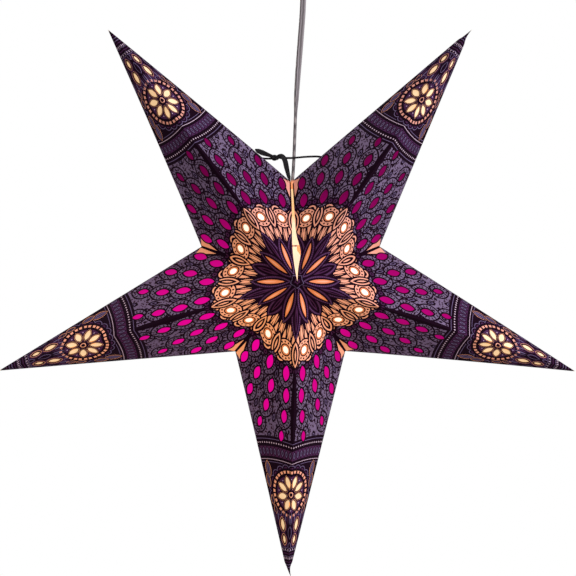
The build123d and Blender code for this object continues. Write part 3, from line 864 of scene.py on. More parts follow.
def nested_leaf(ray, inner, outer, width, colours):
    """Leaves on one ray from an inner to an outer radius, each a few millimetres inside the last."""
    middle, length = (inner + outer) / 2, outer - inner
    border, dot, fill, core = colours
    for grow, colour in ((LOTUS_EDGE, DARK), (LOTUS_BORDER, border)):
        ink(colour, grown_leaf(length, width, grow, 13, middle, ray))
    ink(dot, *dots_along(grown_leaf(length, width, LOTUS_DOTS, 13, middle, ray), DOT_GAP, DOT))
    for grow, colour in ((LOTUS_INNER, DARK), (LOTUS_FILL, fill)):
        ink(colour, grown_leaf(length, width, grow, 13, middle, ray))
    core_length, core_width, shift = LOTUS_CORE
    ink(core, on_ray(leaf(length * core_length, width * core_width), middle + length * shift, ray))


for ray in (0.0, facet_angle):
    nested_leaf(ray, *LOTUS_LEAF, (PLUM, MAUVE, PLUM, DARK))
nested_leaf(facet_angle / 2, *LOTUS_PETAL, (PLUM, MAUVE, ORANGE, PEACH))
ink(DARK, disc(SEED_HEAD, 24))
for i in range(STAMENS):
    ink(MAUVE, on_ray(disc(STAMEN, 6), STAMEN_ROW, facet_angle * (i + 0.5) / STAMENS))
for radius, steps, colour in SEED_RINGS:
    ink(colour, disc(radius, steps))
print(len(motifs), "printed shapes so far")

# %% [markdown]
# ### Scales
# The middle of each point is covered in lapped scales on a stippled ground, with a window in each.
# A tiled texture would run the same everywhere, but these rows narrow as the point does.
# So each scale is drawn round its own window, from the outside in, and each row laps over the next.

# %% Scales
MID_START, MID_END = 97.0, 196.0
MID_SPAN = (-4, facet_angle + 4)
SCALE_EDGE, SCALE_FACE, SCALE_HEM, WINDOW_FRAME = (15.0, 14.6), (11.4, 11.0), (7.8, 7.0), (4.4, 3.4)
SCALE_SHIFT, HEM_SHIFT, HEM_GAP, HEM_STROKE = 1, 0.6, 4.0, (3.4, 1.4)
ink(GROUND, band(MID_START, MID_END, *MID_SPAN))
for radius, angle, length, width in leaf_places[::-1]:
    ink(DARK, grown_leaf(length, width, SCALE_EDGE, 11, radius + SCALE_SHIFT, angle))
    ink(GROUND, grown_leaf(length, width, SCALE_FACE, 11, radius + SCALE_SHIFT, angle))
    hem = grown_leaf(length, width, SCALE_HEM, 11, radius + HEM_SHIFT, angle)
    ink(DARK, *strokes_along(hem, HEM_GAP, *HEM_STROKE))
    ink(DARK, grown_leaf(length, width, WINDOW_FRAME, 11, radius, angle))
print(len(motifs), "printed shapes so far")

# %% [markdown]
# ### Between the scales
# Small lozenges and pairs of seeds fill the gaps of the scales, and a scalloped hem starts them.
# They could be left to a noise texture, but a printer's filling follows the rows.
# So they stand on the rays between the windows, and a long dark leaf runs down the ridge.

# %% Between the scales
LOZENGE_SHARE, LOZENGE_WIDTH, LOZENGE_SHIFT = 0.9, 6.4, 7
LOZENGE = ((0.0, DARK), (-3.0, MAUVE), (-4.4, DARK))
SEEDS = ((5.0, 2.6, 14.5, 2.1), (4.0, 2.0, 19.0, 3.6))
SCALLOPS, SCALLOP_SHIFT, HEM_HALF = 11, 2.4, 1.6
SCALLOP_RINGS = ((4.4, DARK), (2.5, PLUM), (1.1, DARK))
RIDGE_LEAF, RIDGE_LEAF_ROW = (108, 9.0), 146
for radius, length, width, count in LEAF_ROWS:
    for i in range(count + 1):
        ray = open_angle(radius) * i / count
        for grow, colour in LOZENGE:
            lozenge = leaf(length * LOZENGE_SHARE + 2 * grow, LOZENGE_WIDTH + grow, 7)
            ink(colour, on_ray(lozenge, radius + LOZENGE_SHIFT, ray))
        for side in (-1, 1):
            for seed_length, seed_width, away, lean in SEEDS:
                ink(DARK, on_ray(leaf(seed_length, seed_width, 5), radius + away, ray + side * lean))
ink(DARK, band(MID_START - HEM_HALF, MID_START + HEM_HALF, *MID_SPAN))
for i in range(SCALLOPS + 1):
    stacked_discs(SCALLOP_RINGS, 10, MID_START + SCALLOP_SHIFT, facet_angle * i / SCALLOPS)
ink(DARK, on_ray(leaf(*RIDGE_LEAF), RIDGE_LEAF_ROW, 0.0))
print(len(motifs), "printed shapes so far")

# %% [markdown]
# ### Border
# A border of arcs about the tip ends the scales, with a row of beads and a row of small leaves.
# Straight bands would be simpler, but arcs about the tip meet both folds of the facet alike.
# So every line of the border is a strip between two arcs, and its ornaments stand on rays from the tip.

# %% Border
TIP_SPAN = (180 - tip_angle - 6, 184, RIDGE)
BEADS, BEAD_ROW, BEAD, BORDER_LEAVES, BORDER_ROW = 15, 145.6, 0.9, 9, 136.4
BORDER_LINES = (
    (120, 153, DARK),
    (149.4, 150.1, MAUVE),
    (131.2, 141.6, PLUM),
    (127.6, 128.2, PALE),
    (124.6, 125.2, MAUVE),
)
BORDER_LEAF = ((10.2, 5.0, DARK), (7.6, 2.9, MAUVE), (4.4, 1.3, DARK))
for near, far, colour in BORDER_LINES:
    ink(colour, band(near, far, *TIP_SPAN))
for i in range(BEADS):
    ink(PALE, on_ray(disc(BEAD, 7), -BEAD_ROW, -tip_angle * (i + 0.5) / BEADS, RIDGE))
for i in range(BORDER_LEAVES):
    stacked_leaves(BORDER_LEAF, -BORDER_ROW, -tip_angle * (i + 0.5) / BORDER_LEAVES, RIDGE)
print(len(motifs), "printed shapes so far")

# %% [markdown]
# ### Medallion
# A round medallion sits on the ridge of each point, half on either facet, round eight lit petals.
# It could be one round mesh laid over the fold, but on a real star it folds with the card.
# So half of it is painted on the flat facet, and the mirrored facet brings the other half.

# %% Medallion
RIM_LOOPS, RIM_ROW = 11, 27.5
RIM_STACK = ((6.8, DARK), (5.4, MAUVE), (4.6, DARK), (2.8, PLUM), (1.3, DARK))
TEETH, TOOTH_ROW, TOOTH_LENGTH, TOOTH_WIDTHS = 15, 24.7, 4.8, (2.0, 2.8)
HALF_ROUND = (-4, 184, MEDALLION)
RIM_BANDS = ((0.2, 28.8, DARK), (23.4, 26.2, PEACH))
FIELD_BANDS = ((0.2, 21.6, DARK), (0.2, 20.4, PLUM))
PETAL_FRAME = ((18.0, 10.6, DARK), (15.6, 8.6, PEACH), (15.0, 8.0, DARK))
SPECK, SPECK_ROW, FRAME_SHIFT = 0.7, 17.6, 0.2
HUB_RINGS = ((5.2, DARK), (3.2, PEACH), (2.2, DARK))
rim_rays = [180 * i / (RIM_LOOPS - 1) for i in range(RIM_LOOPS)]
for radius, colour in RIM_STACK:
    ink(colour, *[on_ray(disc(radius, 14), RIM_ROW, ray, MEDALLION) for ray in rim_rays])
for near, far, colour in RIM_BANDS:
    ink(colour, band(near, far, *HALF_ROUND))
for i in range(TEETH):
    tooth = leaf(TOOTH_LENGTH, TOOTH_WIDTHS[i % 2], 6)
    ink(DARK, on_ray(tooth, TOOTH_ROW, 180 * (i + 0.5) / TEETH, MEDALLION))
for near, far, colour in FIELD_BANDS:
    ink(colour, band(near, far, *HALF_ROUND))
for ray in petal_angles:
    stacked_leaves(PETAL_FRAME, PETAL_RADIUS - FRAME_SHIFT, ray, MEDALLION)
for i in range(PETALS + 1):
    ink(PALE, on_ray(disc(SPECK, 7), SPECK_ROW, 180 * i / PETALS, MEDALLION))
stacked_discs(HUB_RINGS, 16, 0.0, 0.0, MEDALLION)
print(len(motifs), "printed shapes so far")

# %% [markdown]
# ### Sprigs
# Sprigs of leaves fill the corners beside the medallion, along the outer creases.
# They could be scattered, but a printer sets them in the space that the round leaves free.
# So each has its distance from the tip and its lean, and is painted in layers from the outside in.

# %% Sprigs
SPRIGS = ((117, 0.80, 18), (105, 0.87, 14), (84, 0.86, 10), (74, 0.80, 9))
SPRIG_LAYERS = ((3.4, DARK), (1.2, PEACH), (0.3, DARK), (-2.0, MAUVE))
SPRIG_SHARE, SPRIG_VEIN_SHARE, SPRIG_VEIN = 0.4, 0.7, 1.2
for away, lean, length in SPRIGS:
    place = (-away, -tip_angle * lean, RIDGE)
    for grow, colour in SPRIG_LAYERS:
        ink(colour, grown_leaf(length, length * SPRIG_SHARE, (grow, grow), 9, *place))
    ink(DARK, on_ray(leaf(length * SPRIG_VEIN_SHARE, SPRIG_VEIN, 5), *place))
print(len(motifs), "printed shapes so far")

# %% [markdown]
# ### Tip
# A fan of narrow leaves and fine chevrons run out to the tip, round the two last windows.
# A gradient would be less work, but a printed tip is made of thin lines that close up as it narrows.
# So the chevrons are arcs at even steps about the tip, and the windows get frames of their own.

# %% Tip
FAN_LEAVES, FAN_LEAF, FAN_ROW, TIP_FIELD = 9, (15.0, 1.5), 66.5, (0.4, 67.0)
LEAF_FRAME, FRAME_SHARE = ((8.6, PLUM), (6.2, DARK), (4.8, PEACH), (3.8, DARK)), 0.8
SIDE_LEAF, SIDE_SHARE, SIDE_SHIFT = ((2.0, MAUVE), (0.6, DARK)), 0.7, 7.0
CHEVRONS, CHEVRON_START, CHEVRON_STEP, CHEVRON_WIDTH = 9, 8.0, 3.1, 0.75
BUD_ROWS, BUDS, BUD = (31.0, 21.7), 3, ((6.0, 2.4, DARK), (3.0, 1.0, PALE))
ink(DARK, band(*TIP_FIELD, *TIP_SPAN, 8))
for i in range(FAN_LEAVES):
    ray = -tip_angle * (i + 0.5) / FAN_LEAVES
    ink((MAUVE, PLUM)[i % 2], on_ray(leaf(*FAN_LEAF, 5), -FAN_ROW, ray, RIDGE))
for away, length, width in TIP_LEAVES:
    for grow, colour in LEAF_FRAME:
        frame_grow = (grow, grow * FRAME_SHARE)
        ink(colour, grown_leaf(length, width, frame_grow, 9, -away, -tip_angle / 2, RIDGE))
    for ray in (0.0, -tip_angle):
        for grow, colour in SIDE_LEAF:
            side_place = (SIDE_SHIFT - away, ray, RIDGE)
            ink(colour, grown_leaf(length, width * SIDE_SHARE, (grow, grow), 9, *side_place))
for i in range(CHEVRONS):
    away = CHEVRON_START + CHEVRON_STEP * i
    ink((PLUM, MAUVE, MAUVE)[i % 3], band(away, away + CHEVRON_WIDTH, *TIP_SPAN, 8))
for away in BUD_ROWS:
    for i in range(BUDS):
        for length, width, colour in BUD:
            ink(colour, on_ray(leaf(length, width, 5), -away, -tip_angle * (i + 0.5) / BUDS, RIDGE))
print(len(motifs), "printed shapes so far")

# %% [markdown]
# ### Folds
# A dark line is printed along each crease, because a fold through a pale ink cracks and shows white.
# A bevel on the folds could stand for that, but the line is part of the print.
# So tapered strips are painted last, with a lit patch at the notch and a dark rim round every window.

# %% Folds
NOTCH_PATCH, WINDOW_RIM, CREASE_LINE = 24.0, (3.4, 2.6), (1.8, 1.4)
NOTCH_STRIPS = ((4.0, 5.0, 26.0, DARK), (0.0, 3.0, 21.0, PEACH), (12.0, 4.4, 2.6, DARK))
for further, start_width, end_width, colour in NOTCH_STRIPS:
    start = valley_way * (VALLEY - NOTCH_PATCH - further)
    ink(colour, strip(start, FLAT_NOTCH, start_width, end_width))
for radius, angle, length, width in leaf_places:
    ink(DARK, grown_leaf(length, width, WINDOW_RIM, 11, radius, angle))
ink(DARK, strip(FLAT_NOTCH, FLAT_TIP, *CREASE_LINE))
print(len(motifs), "printed shapes in each facet")

# %% [markdown]
# ## Inside or outside
# To ink a triangle or cut it away, one has to know which outlines it lies in.
# A ray cast at a mesh could tell, but the print is flat, and its outlines are only rows of points.
# So the crossings of a ray with an outline are counted, for all points at once.


# %% Inside or outside
def covers(shape, points):
    """True where a point is inside a shape: a ray from it crosses the outline an odd number of times."""
    inside = np.zeros(len(points), bool)
    near = np.flatnonzero(((points >= shape.min(0)) & (points <= shape.max(0))).all(1))
    x, y = points[near].T
    ahead = np.roll(shape, -1, 0)
    crosses = (shape[:, 1:] > y) != (ahead[:, 1:] > y)
    rise = np.where(ahead[:, 1:] == shape[:, 1:], 1.0, ahead[:, 1:] - shape[:, 1:])
    at = shape[:, :1] + (ahead[:, :1] - shape[:, :1]) * (y - shape[:, 1:]) / rise
    inside[near] = (crosses & (x < at)).sum(0) % 2 == 1
    return inside


probes = np.array([[0.0, 0.0], [3.0, 0.0]])
print("a disc of 2 mm covers its middle and a point 3 mm away:", covers(disc(2.0), probes))

# %% [markdown]
# ## From outlines to triangles
# The print has hundreds of outlines that cross and lap, as inks do on the real card.
# A regular grid can't follow them, and knife cuts in edit mode would take days.
# Constrained Delaunay triangulation is made for this: each outline becomes edges of one net.
# Extra points on a grid keep its triangles small, so that the paper can bend.


# %% From outlines to triangles
def loop_edges(loop, start):
    """Edges from each point of a closed loop to the next, numbered from a start."""
    numbers = np.arange(len(loop))
    return np.stack([numbers, np.roll(numbers, -1)], 1) + start


def net(shapes, border, spacing):
    """Triangles inside a border whose edges follow every shape, with extra points on a grid."""
    low, high = border.min(0) + spacing / 2, border.max(0)
    columns, rows = [np.arange(low[axis], high[axis], spacing) for axis in (0, 1)]
    grid = np.stack(np.meshgrid(columns, rows), -1).reshape(-1, 2)
    loops = [border, *shapes]
    starts = np.cumsum([0] + [len(loop) for loop in loops])
    edges = np.concatenate([loop_edges(loop, start) for loop, start in zip(loops, starts)])
    points = np.concatenate([*loops, grid[covers(border, grid)]])
    result = delaunay_2d_cdt(list(map(Vector, points.tolist())), edges.tolist(), [], 0, 1e-4, False)
    flat, triangles = np.array(result[0]), np.array(result[2])
    one, two, three = flat[triangles].transpose(1, 0, 2)
    side, other = two - one, three - one
    area = side[:, 0] * other[:, 1] - side[:, 1] * other[:, 0]
    triangles[area < 0] = triangles[area < 0][:, ::-1]
    keep = (np.abs(area) > 1e-7) & covers(border, flat[triangles].mean(1))
    return flat, triangles[keep]


def trimmed(flat, triangles, keep):
    """Only the kept triangles, with points that are still in use."""
    used, again = np.unique(triangles[keep], return_inverse=True)
    return flat[used], again.reshape(-1, 3)


print("a square with a disc drawn in it has", len(net([disc(3.0)], disc(10.0, 4), 5.0)[1]), "triangles")

# %% [markdown]
# ## The printed side
# The printed side of the card faces out, with its windows cut through all the inks.
# The inks could be thin meshes on top of each other, but then they would flicker where they touch.
# So the net holds the outlines of all motifs, and each triangle takes the last ink laid over it.

# %% The printed side
BORDER_GAP, PRINT_GRID = 5.0, 9.0
corners = np.array([[0.0, 0.0], FLAT_TIP, FLAT_NOTCH])


def close_border(corners, gap):
    """Border through the corners, with points at even gaps along each side."""
    sides = []
    for start, end in zip(corners, np.roll(corners, -1, 0)):
        count = int(np.ceil(np.linalg.norm(end - start) / gap))
        sides.append(start + (end - start) * np.arange(count)[:, None] / count)
    return np.concatenate(sides)


def uncut(middles):
    """True where the middle of a triangle isn't in a window."""
    return ~np.any([covers(window, middles) for window in windows], axis=0)


outline = close_border(corners, BORDER_GAP)
print_flat, print_triangles = net([shape for _, shape in motifs] + windows, outline, PRINT_GRID)
middles = print_flat[print_triangles].mean(1)
inks = np.full(len(middles), DARK)
for colour, shape in motifs:
    inks[covers(shape, middles)] = colour
paper_left = uncut(middles)
inks = inks[paper_left]
print_flat, print_triangles = trimmed(print_flat, print_triangles, paper_left)
print("printed side has", len(print_triangles), "triangles in each facet")

# %% [markdown]
# ## The plain side
# Inside the star the card is plain, and only the windows break it.
# The printed mesh could be doubled, but then the plain side would carry the fine net of the print too.
# So it has a coarser net of its own. It stops short of the ridge, because the inside of a fold
# is shorter than its outside.

# %% The plain side
PLAIN_GRID, RIDGE_GAP = 14.0, 0.5


def off_ridge(flat):
    """Flat points kept a short way off the ridge."""
    return np.stack([flat[:, 0], np.maximum(flat[:, 1], RIDGE_GAP)], 1)


plain_flat, plain_triangles = net(windows, outline, PLAIN_GRID)
paper_left = uncut(plain_flat[plain_triangles].mean(1))
plain_flat, plain_triangles = trimmed(plain_flat, plain_triangles, paper_left)
plain_flat = off_ridge(plain_flat)
print("plain side has", len(plain_triangles), "triangles in each facet")

# %% [markdown]
# ## The cut edges
# Card has a thickness, and its cut edges show as a thin line round every window and along the folds.
# A Solidify modifier would give such edges, but it would need one net for both sides.
# So the open edges of the printed net are found, and a narrow wall joins each to the plain side.

# %% The cut edges
CARD = 0.4


def open_edges(triangles):
    """Edges that belong to one triangle only, in the direction in which it goes round."""
    edges = np.concatenate([triangles[:, [0, 1]], triangles[:, [1, 2]], triangles[:, [2, 0]]])
    _, first, count = np.unique(np.sort(edges, 1), axis=0, return_index=True, return_counts=True)
    return edges[first[count == 1]]


rim_points, rim_places = np.unique(open_edges(print_triangles), return_inverse=True)
rim_top = print_flat[rim_points]
rim_flat = np.concatenate([rim_top, off_ridge(rim_top)])
rim_depth = np.repeat([0.0, CARD], len(rim_top))
one, two = rim_places.reshape(-1, 2).T
below_one, below_two = one + len(rim_top), two + len(rim_top)
rim_triangles = np.concatenate([np.stack([two, one, below_one], 1), np.stack([two, below_one, below_two], 1)])
print("cut edges have", len(rim_triangles), "triangles in each facet")

# %% [markdown]
# ## Swelling panels
# Folded paper is never quite flat: each panel swells a little between its folds.
# Cloth simulation could find such a shape, but it would be slow on so fine a net.
# So the swell is a bubble over the triangle that is highest at its middle and nothing at its folds.

# %% Swelling panels
corner_matrix = np.linalg.inv(np.stack([FLAT_TIP, FLAT_NOTCH], 1))


def swell(flat, amount):
    """Height of a bubble over the triangle: 27 times the product of the three shares of its corners."""
    shares = flat @ corner_matrix.T
    return amount * 27 * np.clip(shares.prod(1) * (1 - shares.sum(1)), 0, None)


middle_height = swell(corners.mean(0)[None], 1.0)[0]
print("a bubble of 1 mm is", round(middle_height, 3), "mm high at the middle of a facet")

# %% [markdown]
# ## Lips and whiskers
# The two facets at the top seam are left unglued, so their free edges bend apart like lips.
# Two of the tips end in a short twisted whisker of paper, where the sheet was pinched.
# Both could be pulled by hand with proportional editing, which is hard to try again.
# So each is a small move of the points by a smooth formula, with its size in a table.

# %% Lips and whiskers
BACK_LIP, LIP_PLACE, LIP_START, LIP_DEPTH = 0.2, 0.27, 0.12, 16.0
WHISKER_LENGTH, WHISKER_PINCH = 15.0, 0.62
SEAM_SIDE = {"upper_right": 1, "upper_left": -1}
SEAM_LIP = {"upper_right": (1.8, 4.6, 0.13), "upper_left": (0.4, 3.4, 0.36)}
WHISKER = {"upper_right": (1.2, -2.6), "lower": (-3.4, 1.0)}
valley_in = np.array([valley_way[1], -valley_way[0]])


def lips(flat, opening, lens, reach):
    """Flat points moved away from the open seam: an even opening plus a bell-shaped lens, widest a
    quarter of the way up, both fading away from the seam."""
    along = np.clip(flat @ valley_way / VALLEY, 0, 1)
    away = np.abs(flat @ valley_in)
    gape = opening + lens * np.exp(-(((along - LIP_PLACE) / reach) ** 2))
    shift = gape * (1 - np.exp(-along / LIP_START)) * np.exp(-away / LIP_DEPTH)
    return flat + shift[:, None] * valley_in


def whisker(solid, way):
    """Tip of an upright point pinched by the root of its nearness to the end, and bent by its square."""
    near = np.clip(1 - (TIP_RADIUS - solid[:, 2]) / WHISKER_LENGTH, 0, 1)[:, None]
    solid[:, :2] *= 1 - WHISKER_PINCH * np.sqrt(near)
    solid[:, :2] += near**2 * np.array(way)
    return solid


seam_middle = valley_way[None] * VALLEY * LIP_PLACE
gapes = {name: np.linalg.norm(lips(seam_middle, *lip) - seam_middle) for name, lip in SEAM_LIP.items()}
print("the seam opens by", {name: round(gape, 2) for name, gape in gapes.items()}, "mm")

# %% [markdown]
# ## Folding a panel
# The flat sheet becomes a point of the star: four panels, each a mirror image of its neighbour.
# A Mirror modifier could make them, but each panel needs its own swell, and the seam its own lips.
# So one function lays flat points on any panel of any point, and the tips lean a little as real ones do.

# %% Folding a panel
TIP_SHIFT = {
    "upper_right": (2.2, 2.6),
    "right": (1.0, -4.0),
    "lower": (-1.4, -3.0),
    "left": (-3.6, -1.2),
    "upper_left": (-5.0, 0.0),
}
SWELL, SWELL_SPREAD, LEAN_POWER = 1.1, 0.5, 1.5
SWELL_BY_POINT, SWELL_BY_SIDE, SWELL_BY_FACE = 0.7, 1.3, 0.4


def fold(flat, depth, name, side, face):
    """Flat points put on one panel of a point, in metres; side 1 is left, face 1 is in front.

    Each is the centre plus x along the ridge, y across it and its height outward, mirrored and turned."""
    phase = POINT_ANGLES[name] * SWELL_BY_POINT + side * SWELL_BY_SIDE + face * SWELL_BY_FACE
    lift = swell(flat, SWELL + SWELL_SPREAD * np.sin(phase)) - depth
    if SEAM_SIDE.get(name) == side:
        opening, lens, reach = SEAM_LIP[name]
        flat = lips(flat, opening, lens if face > 0 else lens * BACK_LIP, reach)
    solid = centre + flat[:, :1] * ridge_way + flat[:, 1:] * across_way + lift[:, None] * outward
    solid = solid * [side, face, 1.0]
    if name in WHISKER:
        solid = whisker(solid, WHISKER[name])
    turn = np.radians(POINT_ANGLES[name])
    lean = np.clip((solid[:, 2] - NOTCH_RADIUS) / (TIP_RADIUS - NOTCH_RADIUS), 0, None) ** LEAN_POWER
    x = solid[:, 0] * np.cos(turn) + solid[:, 2] * np.sin(turn) + lean * TIP_SHIFT[name][0]
    z = solid[:, 2] * np.cos(turn) - solid[:, 0] * np.sin(turn) + lean * TIP_SHIFT[name][1]
    return np.stack([x, solid[:, 1], z], 1) * MILLIMETRE + STAR


left_tip, right_tip = [fold(FLAT_TIP[None], 0.0, name, 1, 1)[0] for name in ("left", "right")]
print("the star is", round(right_tip[0] - left_tip[0], 4), "m from its left to its right tip")

# %% [markdown]
# ## All four panels
# Each point has the same flat pieces on its four panels, left and right, in front and behind.
# Four objects could share one mesh, but a folded sheet is one piece and has no gaps at its folds.
# So the four are joined into one array, and where a panel is mirrored its triangles are turned round,
# because a mirror image would otherwise face inwards.

# %% All four panels
PANELS = [(side, face) for side in (1, -1) for face in (1, -1)]


def joined(parts):
    """One array of points and one of triangles from several pairs, each numbered on from the last."""
    starts = np.cumsum([0] + [len(points) for points, _ in parts])
    points = np.concatenate([points for points, _ in parts])
    triangles = np.concatenate([triangles + start for (_, triangles), start in zip(parts, starts)])
    return points, triangles


def panel_set(name, flat, triangles, depth):
    """The same flat piece on all four panels of a point; where it is mirrored, its triangles turn round."""
    parts = []
    for side, face in PANELS:
        order = triangles if side * face > 0 else triangles[:, ::-1]
        parts.append((fold(flat, depth, name, side, face), order))
    return joined(parts)


print("a point has", len(panel_set("lower", plain_flat, plain_triangles, CARD)[1]), "plain triangles in all")

# %% [markdown]
# ## Lit paper
# Card lets some lamp light through its pale inks and almost none through the dark ones.
# True light through paper needs a slow render, and would change with every lamp that is tried.
# So each ink has an emission of its own, whose strength is the lamp light that reaches the place.

# %% Lit paper
PAPER_ROUGHNESS, PAPER_SPECULAR = 0.72, 0.02
PAPER_GRAIN, PAPER_CLOUD, PAPER_DRIFT = (900.0, 0.00012), 55.0, (0.86, 1.12)


def lit_paper(name, colour, glow, strength):
    """Matt paper with a fine grain that the lamp shines through."""
    material, tree, shader = new_material(name, colour, PAPER_ROUGHNESS)
    shader.inputs["Specular IOR Level"].default_value = PAPER_SPECULAR
    roughen(tree, shader, *PAPER_GRAIN)
    light_up(tree, shader, glow, strength)
    return material, tree, shader


def paper(name, colour, glow, strength, cloud=PAPER_CLOUD):
    """Lit paper whose colour drifts in clouds, as ink and pulp do."""
    material, tree, shader = lit_paper(name, colour, glow, strength)
    mottle(tree, shader, colour, cloud, *PAPER_DRIFT)
    return material


grain_size, cloud_size = 1000 / PAPER_GRAIN[0], 1000 / PAPER_CLOUD
print("paper grain is about", round(grain_size, 1), "mm, its clouds", round(cloud_size), "mm")

# %% [markdown]
# ## Inks
# Seven inks make the print, and the plain inside and the cut edges of the card have finishes too.
# The ground between the scales is stippled with dots far finer than the motifs.
# As outlines those dots would need millions of triangles, so they come from a Voronoi texture.
# It is dark near each of its random points, which gives dots of an even size.

# %% Inks
STIPPLE_GAP, STIPPLE_SIZE, STIPPLE_RIM, STIPPLE_FIELD = 0.0026, 0.34, 0.41, 0.85
STIPPLE_SHADES, COOL_GLOW = (0.92, 1.1), linear(220, 90, 100)


def stippled(name, colour, dot, glow, strength):
    """Lit paper with fine dots: dark within a share of the gap from each random point."""
    material, tree, shader = lit_paper(name, colour, glow, strength)
    shade = np.array(colour[:3])
    spots = on_object(add_node(tree, "TexVoronoi", Scale=1 / STIPPLE_GAP))
    rim, field = [(*(shade * share), 1.0) for share in STIPPLE_SHADES]
    ramp = colour_ramp(tree, (STIPPLE_SIZE, dot), (STIPPLE_RIM, rim), (STIPPLE_FIELD, field))
    link(spots, "Distance", ramp, "Fac")
    link(ramp, "Color", shader, "Base Color")
    return material


card_inks = [
    paper("ink_dark", linear(22, 4, 19), linear(120, 30, 60), 0.01),
    paper("ink_plum", linear(68, 36, 72), linear(200, 60, 40), 0.03),
    paper("ink_mauve", linear(104, 88, 122), COOL_GLOW, 0.02),
    stippled("ink_ground", linear(113, 96, 123), linear(30, 8, 22), COOL_GLOW, 0.02),
    paper("ink_peach", linear(212, 148, 138), linear(255, 160, 64), 0.5),
    paper("ink_orange", linear(206, 122, 92), linear(255, 138, 40), 0.45),
    paper("ink_pale", linear(196, 172, 190), linear(255, 170, 120), 0.08),
    paper("card_inside", linear(238, 226, 204), linear(255, 164, 88), 0.62),
    paper("card_edge", linear(84, 48, 60), linear(255, 150, 80), 0.03),
]
print(len(card_inks), "finishes on the card")

# %% [markdown]
# ## Lamp light
# Near the lamp the paper is bright, and it dims towards the tips and over the lampholder's shade.
# A point light in the star could do this, but paper that is cut so finely would be full of noise.
# So the light that reaches a place is worked out once, and each point of the mesh holds its share.

# %% Lamp light
LIGHT_REACH, LIGHT_LEVEL, CARD_SHADE = 0.35, 1.4, (0.7, 0.42)
SHADE_START, SHADE_WIDTH, SIDE_START = 0.03, 0.12, 0.02


def lamp_share(points, above, right):
    """Lamp light at a place: e to the minus distance over a reach, less above the lamp and to its right."""
    offset = points - STAR
    away = np.linalg.norm(offset, axis=1)
    upward = np.clip((offset[:, 2] + SHADE_START) / SHADE_WIDTH, 0, 1)
    rightward = np.clip((offset[:, 0] + SIDE_START) / SHADE_WIDTH, 0, 1) * (1 - upward)
    return np.exp(-away / LIGHT_REACH) * LIGHT_LEVEL * (1 - above * upward - right * rightward)


tip_light = lamp_share(np.stack([left_tip, right_tip]), *CARD_SHADE)
print("light at the left and right tip", tip_light.round(2))

# %% [markdown]
# ## Star points
# A point is one sheet: the printed side, the plain side behind it and the cut edges between them.
# Three objects would be simpler, but a real card is one piece and should stay one when it is exported.
# So the three nets are joined into one mesh, and each triangle names its ink.
# The lower point is fixed to the lampholder, and the other four turn on their own bodies.


# %% Star points
def mount_paper(piece, name, node):
    """Paper of a point hides its CAD node, rides on its body and gets its own copy of its mesh."""
    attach(piece, "lampholder" if name == "lower" else name + "_point")
    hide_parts(node)
    press_flat(piece)


for name in POINT_ANGLES:
    printed = panel_set(name, print_flat, print_triangles, 0.0)
    plain_side = panel_set(name, plain_flat, plain_triangles[:, ::-1], CARD)
    edges = panel_set(name, rim_flat, rim_triangles, rim_depth)
    points, faces = joined([printed, plain_side, edges])
    plain_inks = np.repeat([INSIDE, EDGE], [len(plain_side[1]), len(edges[1])])
    colours = np.concatenate([np.tile(inks, len(PANELS)), plain_inks])
    card_values = {"lamp": lamp_share(points, *CARD_SHADE)}
    card = mesh_piece(name + "_card", points, faces, card_inks, colours, card_values)
    mount_paper(card, name, name + "_point")
    print(card.name, "has", len(faces), "triangles")

# %% [markdown]
# ## Tissue shapes
# Coloured tissue is glued behind the windows, one strip for each colour, so that the light takes its tint.
# The windows could be filled with coloured faces of the card, but tissue is a piece of its own.
# So each strip is a ring about the star's middle or the tip, cut to an outline inside the facet.
# That outline is drawn in towards the heart of the triangle, the point equally far from its three sides.

# %% Tissue shapes
INSET, LAP, TISSUE_BORDER_GAP, TISSUE_GRID, RING_STEPS = 3.0, 3.5, 6.0, 7.0, 96
first_row, last_row, last_leaf = LEAF_ROWS[0], LEAF_ROWS[-1], TIP_LEAVES[-1]
tissue_rings = {
    "white_tissue": (0.0, PEARL_ROW - PEARL_RADIUS - LAP, PEARL_ROW + PEARL_RADIUS + LAP),
    "magenta_tissue": (0.0, first_row[0] - first_row[1] / 2 - LAP, last_row[0] + last_row[1] / 2 + LAP),
    "cream_tissue": (
        RIDGE,
        last_leaf[0] - last_leaf[1] / 2 - LAP,
        MEDALLION_FROM_TIP + PETAL_RADIUS + PETAL_LENGTH / 2 + LAP,
    ),
}
sides = np.linalg.norm(np.roll(corners, -1, 0) - np.roll(corners, -2, 0), axis=1)
heart = (corners * sides[:, None]).sum(0) / sides.sum()
heart_radius = FLAT_NOTCH[1] * RIDGE / sides.sum()
inset_outline = close_border(heart + (corners - heart) * (1 - INSET / heart_radius), TISSUE_BORDER_GAP)
tissue_nets = {}
for tissue, (origin, inner, outer) in tissue_rings.items():
    rings = [disc(radius, RING_STEPS) + [origin, 0.0] for radius in (inner, outer)]
    flat, triangles = net(rings, inset_outline, TISSUE_GRID)
    away = np.linalg.norm(flat[triangles].mean(1) - [origin, 0.0], axis=1)
    tissue_nets[tissue] = trimmed(flat, triangles, (away > inner) & (away < outer))
    print(tissue, "has", len(tissue_nets[tissue][1]), "triangles in each facet")

# %% [markdown]
# ## Tissue sheets
# Tissue glows far more than card, and each colour fades in its own way over the upper points.
# Glass or a translucent shader would need the lamp to light it, which is slow and full of noise.
# So tissue is lit paper too, folded by the same function, and stays a tenth of a millimetre behind the card.

